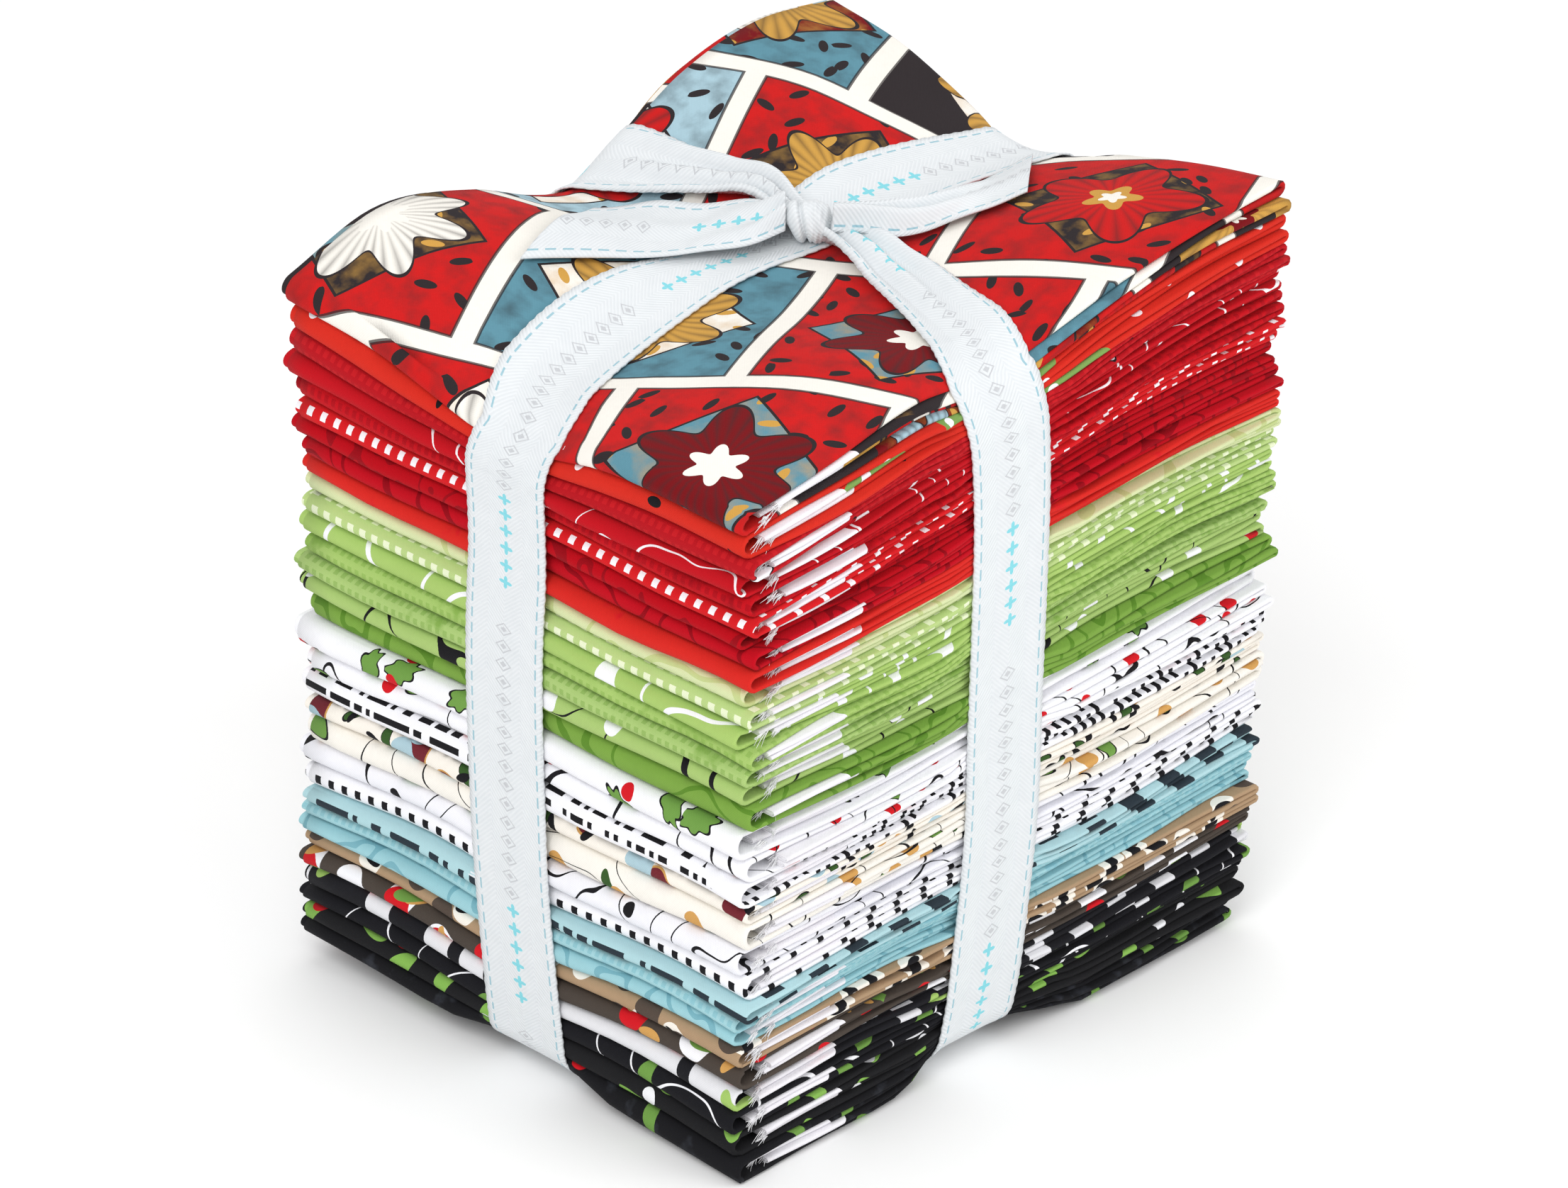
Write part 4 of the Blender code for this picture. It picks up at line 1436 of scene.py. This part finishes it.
@dataclass
class Knot:
    """The knot: gathered tape wound twice round the crossing, a narrow wrap and a broad one with folds."""

    lay: Lay
    tape: bpy.types.Material
    centre: tuple[float, float] = (9.4, 3.9)
    axis: tuple[float, float] = (0.69, -0.724)
    reach: float = 4.6
    girth: float = 4.3
    seat: float = 0.6
    sides: int = 72
    rings: int = 64

    def build(self) -> bpy.types.Object:
        """Makes a closed barrel round the axis.

        radius(share, angle) = cap · (0.97 - 0.24 · groove + folds + swell). The cap closes both ends. The
        groove parts the two wraps and slants as it goes round. The folds are fine waves along the broad wrap,
        and the swell rounds the narrow one.

        Returns:
            The piece.
        """
        share = np.linspace(0, 1, self.rings)[:, None]
        angle = np.linspace(0, 2 * np.pi, self.sides + 1)[None, :]
        under = (1 - np.cos(angle)) / 2
        low = -self.reach + 1.9 * under
        across = low + (self.reach - low) * share
        cap = np.sqrt(np.clip(1 - np.abs(2 * share - 1) ** 4, 0, 1))
        groove = np.exp(-(((share - 0.33 - 0.05 * under) / 0.05) ** 2))
        broad = ease((share - 0.38) / 0.1) * cap
        folds = 0.035 * np.sin(2 * np.pi * (3.4 * share - 1.1 * under) + 0.6)
        folds = folds + 0.016 * np.sin(2 * np.pi * (8.0 * share + 1.7 * under))
        swell = 0.05 * np.sin(np.pi * np.clip(share / 0.34, 0, 1))
        radius = cap * (0.97 - 0.24 * groove + folds * broad + swell)
        deep = -self.girth * radius * np.sin(angle)
        up = self.girth * radius * np.cos(angle)
        x_base, y_base, z_base = (axis[0] for axis in self.lay.settled(
            np.array([self.centre[0]]), np.array([self.centre[1]]), np.array([self.lay.height])))
        x = x_base + self.axis[0] * across - self.axis[1] * deep
        y = y_base + self.axis[1] * across + self.axis[0] * deep
        z = z_base + self.seat + 0.85 * self.girth + np.where(up < 0, 0.85 * up, up)
        flat = (9.0 * share + 0 * angle, 4.0 * angle + 0 * share)
        obj = SheetMesh.build("tape_knot_wrap", (x, y, z), flat)
        self.close(obj)
        obj.data.materials.append(self.tape)
        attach(obj, "root")
        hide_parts("tape_knot")
        return obj

    def close(self, obj: bpy.types.Object) -> None:
        """Joins the seam and the two poles and turns the faces out."""
        form = bmesh.new()
        form.from_mesh(obj.data)
        bmesh.ops.remove_doubles(form, verts=form.verts, dist=0.02 * MM)
        bmesh.ops.recalc_face_normals(form, faces=form.faces)
        form.to_mesh(obj.data)
        form.free()
        obj.data.polygons.foreach_set("use_smooth", np.ones(len(obj.data.polygons), dtype=bool))


@dataclass
class Frays:
    """The loose threads of the raw ends, where they show at the stack's near side."""

    stack: list[Quarter]
    lay: Lay
    per_end: int = 14
    steps: int = 6
    thread: float = 0.13

    def build(self) -> bpy.types.Object:
        """Makes every thread a thin tapering tube of three sides along a curl: root + run · s + droop · s².

        Returns:
            The piece.
        """
        chance = np.random.default_rng(7)
        roots = np.concatenate([self.roots(quarter, chance) for quarter in self.stack])
        count = len(roots)
        length = chance.uniform(1.2, 3.0, (count, 1)) + chance.exponential(0.25, (count, 1))
        swing = chance.normal(0.0, 1.0, (count, 3))
        run = np.stack([-0.9 + 0.1 * swing[:, 0], -0.2 - 0.1 * np.abs(swing[:, 1]), -0.12 + 0.12 * swing[:, 2]],
                       axis=1)
        curl = chance.normal(0.0, 0.14, (count, 3)) + (0.05, 0.05, -0.18)
        share = np.linspace(0, 1, self.steps)[None, :, None]
        line = roots[:, None, :] + length[..., None] * (run[:, None, :] * share + curl[:, None, :] * share**2)
        line[..., 2] = np.maximum(line[..., 2], 0.3)
        angle = 2 * np.pi * np.arange(3) / 3
        ring = np.stack([0 * angle, np.cos(angle), np.sin(angle)], axis=1)[None, None, :, :]
        size = self.thread * (1 - 0.7 * share[..., None])
        points = (line[:, :, None, :] + ring * size) * MM
        obj = self.mesh(points)
        obj.data.materials.append(cotton_thread())
        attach(obj, "root")
        return obj

    def roots(self, quarter: Quarter, chance: np.random.Generator) -> Array:
        """Draws where one quarter's threads start, along the near side's last few millimetres of its raw ends.

        Args:
            quarter: The folded quarter.
            chance: The shared source of chance.

        Returns:
            One row of X, Y and Z per thread.
        """
        ends = np.repeat(quarter.raw_ends, self.per_end)
        layer = np.repeat((2.5, 1.5), self.per_end)
        shape = ends.shape
        x = ends + chance.uniform(0.1, 1.6, shape)
        y = -self.lay.half_width + chance.uniform(-0.1, 0.5, shape)
        z = quarter.bottom + quarter.layer * (layer + chance.uniform(-0.42, 0.42, shape))
        return np.stack(self.lay.settled(x, y, z), axis=1)

    @staticmethod
    def mesh(points: Array) -> bpy.types.Object:
        """Joins each thread's rings into a tube with closed ends.

        Args:
            points: Places by thread, step and corner, in metres.

        Returns:
            The object.
        """
        threads, steps, corners, _ = points.shape
        index = np.arange(threads * steps * corners).reshape(threads, steps, corners)
        beside = np.roll(index, -1, axis=2)
        quads = np.stack([index[:, :-1], beside[:, :-1], beside[:, 1:], index[:, 1:]], axis=-1).reshape(-1, 4)
        caps = np.concatenate([index[:, 0, ::-1], index[:, -1]])
        return put_mesh("frayed_threads", points.reshape(-1, 3).tolist(), quads.tolist() + caps.tolist())


@dataclass
class Studio:
    """The plain floor, the soft light and the camera at the photograph's viewing angle."""

    azimuth: float = -46.38
    elevation: float = 26.957
    distance: float = 1317.364
    target: tuple[float, float, float] = (0.71, 1.004, 72.389)
    roll: float = 1.443
    sensor: float = 36.0
    pixels_wide: float = 2212.0
    focal_pixels: float = 10000.0

    def build(self) -> None:
        """Sets up the floor, the lights and the camera, and shows colours as they are painted."""
        bpy.context.scene.view_settings.view_transform = "Standard"
        self.floor()
        self.lights()
        self.camera()

    def axes(self) -> tuple[Array, Array, Array]:
        """The camera's right, up and backward directions: the orbit's, turned about the view by the roll."""
        azimuth, elevation, roll = (math.radians(angle) for angle in (self.azimuth, self.elevation, self.roll))
        back = np.array((math.sin(azimuth) * math.cos(elevation), -math.cos(azimuth) * math.cos(elevation),
                         math.sin(elevation)))
        right = np.array((math.cos(azimuth), math.sin(azimuth), 0.0))
        up = np.cross(back, right)
        cosine, sine = math.cos(roll), math.sin(roll)
        return right * cosine + up * sine, up * cosine - right * sine, back

    def camera(self) -> None:
        """Places the camera on its orbit round the target."""
        data = bpy.data.cameras.new("camera")
        data.sensor_width = self.sensor
        data.lens = self.focal_pixels / self.pixels_wide * self.sensor
        data.clip_start = 0.05
        data.clip_end = 20.0
        camera = bpy.data.objects.new("camera", data)
        bpy.context.scene.collection.objects.link(camera)
        right, up, back = self.axes()
        matrix = np.eye(4)
        matrix[:3, 0], matrix[:3, 1], matrix[:3, 2] = right, up, back
        matrix[:3, 3] = (np.array(self.target) + back * self.distance) * MM
        camera.matrix_world = Matrix(matrix.tolist())
        bpy.context.scene.camera = camera

    def floor(self) -> None:
        """A plain pale floor, far larger than the view."""
        half = 6.0
        corners = [(-half, -half, 0), (half, -half, 0), (half, half, 0), (-half, half, 0)]
        floor = put_mesh("floor", corners, [(0, 1, 2, 3)])
        material, graph = new_material("pale_floor")
        shader = graph.tree.nodes["Principled BSDF"]
        shader.inputs["Base Color"].default_value = paint(252, 252, 252)
        shader.inputs["Roughness"].default_value = 0.9
        floor.data.materials.append(material)
        floor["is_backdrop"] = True

    def lights(self) -> None:
        """One broad light above on the left, a weaker one on the right, and an even surround."""
        places = (
            ("key_light", (-0.95, -0.45, 1.05), 0.9, 10.0),
            ("side_light", (0.55, -1.05, 0.60), 0.9, 5.0),
            ("top_light", (0.25, 0.45, 1.30), 0.8, 3.0),
        )
        for name, place, size, power in places:
            data = bpy.data.lights.new(name, "AREA")
            data.size = size
            data.energy = power
            light = bpy.data.objects.new(name, data)
            light.location = place
            toward = np.array((0.0, 0.0, 0.07)) - np.array(place)
            light.rotation_euler = self.facing(toward)
            bpy.context.scene.collection.objects.link(light)
        world = bpy.data.worlds.new("surround")
        world.use_nodes = True
        surround = world.node_tree.nodes["Background"]
        surround.inputs["Color"].default_value = (1.0, 1.0, 1.0, 1.0)
        surround.inputs["Strength"].default_value = 0.68
        bpy.context.scene.world = world

    @staticmethod
    def facing(toward: Array) -> tuple[float, float, float]:
        """The turn about X and then Z that points a light's -Z axis along a direction."""
        flat = math.hypot(toward[0], toward[1])
        return (math.atan2(flat, -toward[2]), 0.0, math.atan2(toward[1], toward[0]) - math.pi / 2)


def main() -> None:
    """Loads the frame, builds each part of the bundle in order and measures both boxes."""
    logging.basicConfig(level=logging.INFO, format="%(name)s: %(message)s")
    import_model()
    cad_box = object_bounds()
    for effect in (plain_weave, herringbone, scatter, figure, contour, strokes, checks, patchwork):
        make_group(effect)
    lay = Lay()
    stack = Stack(lay)
    for piece in stack.build():
        LOG.info("%s has %d faces", piece.name, len(piece.data.polygons))
    tape = TwillTape().material()
    knotted = TwillTape("knotted_tape", printed=False).material()
    parts = (
        Band("tape_round_length", "tape_long", lay, tape, True,
             (-70.0, -62.0, -50.0, -40.0, -26.0, -12.0, 0.0, 8.5, 27.0, 40.0, 50.0, 60.0, 70.0),
             (9.8, 10.8, 10.3, 9.8, 8.8, 7.6, 7.0, 8.0, 8.8, 8.6, 8.6, 9.0, 9.6)),
        Band("tape_round_width", "tape_cross", lay, tape, False,
             (-57.0, -50.0, -44.0, -33.0, -20.0, -10.0, 0.0, 4.0, 10.0, 19.0, 29.0, 39.0, 50.0, 57.0),
             (10.2, 9.8, 9.3, 7.6, 6.4, 5.2, 3.0, 2.4, 3.0, 3.8, 5.0, 6.4, 8.2, 9.2)),
        Tail("tape_end_left", "tape_tail_left", lay, tape,
             ((9.4, 9.6, 4.6), (9.0, 16.0, 4.2), (4.4, 25.3, 3.0), (0.7, 35.5, 2.0), (-8.2, 40.8, 1.2)),
             ((4.5, 4.7, 4.6), (-2.2, 6.9, 3.6), (-8.6, 12.3, 2.6), (-22.3, 19.3, 1.8), (-39.1, 27.8, 1.0)),
             crease=0.45, crease_height=1.2),
        Tail("tape_end_right", "tape_tail_right", lay, tape,
             ((11.0, -1.2, 5.0), (17.5, -5.1, 4.0), (22.0, -6.6, 3.4), (33.1, -9.6, 2.6), (47.2, -8.1, 2.2),
              (58.8, -5.7, 2.0)),
             ((9.6, -2.0, 4.5), (12.6, -5.0, 3.6), (16.7, -10.8, 2.0), (20.6, -13.8, 1.6), (26.0, -16.3, 1.4),
              (32.5, -19.7, 1.3), (40.4, -21.0, 1.3)),
             crease=0.6, crease_height=1.6),
        Knot(lay, knotted),
        Frays(stack.quarters, lay),
    )
    for part in parts:
        piece = part.build()
        LOG.info("%s has %d faces", piece.name, len(piece.data.polygons))
    Studio().build()
    boxes = {"cad": [list(corner) for corner in cad_box], "visual": [list(corner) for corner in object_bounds()]}


if __name__ == "__main__":
    main()
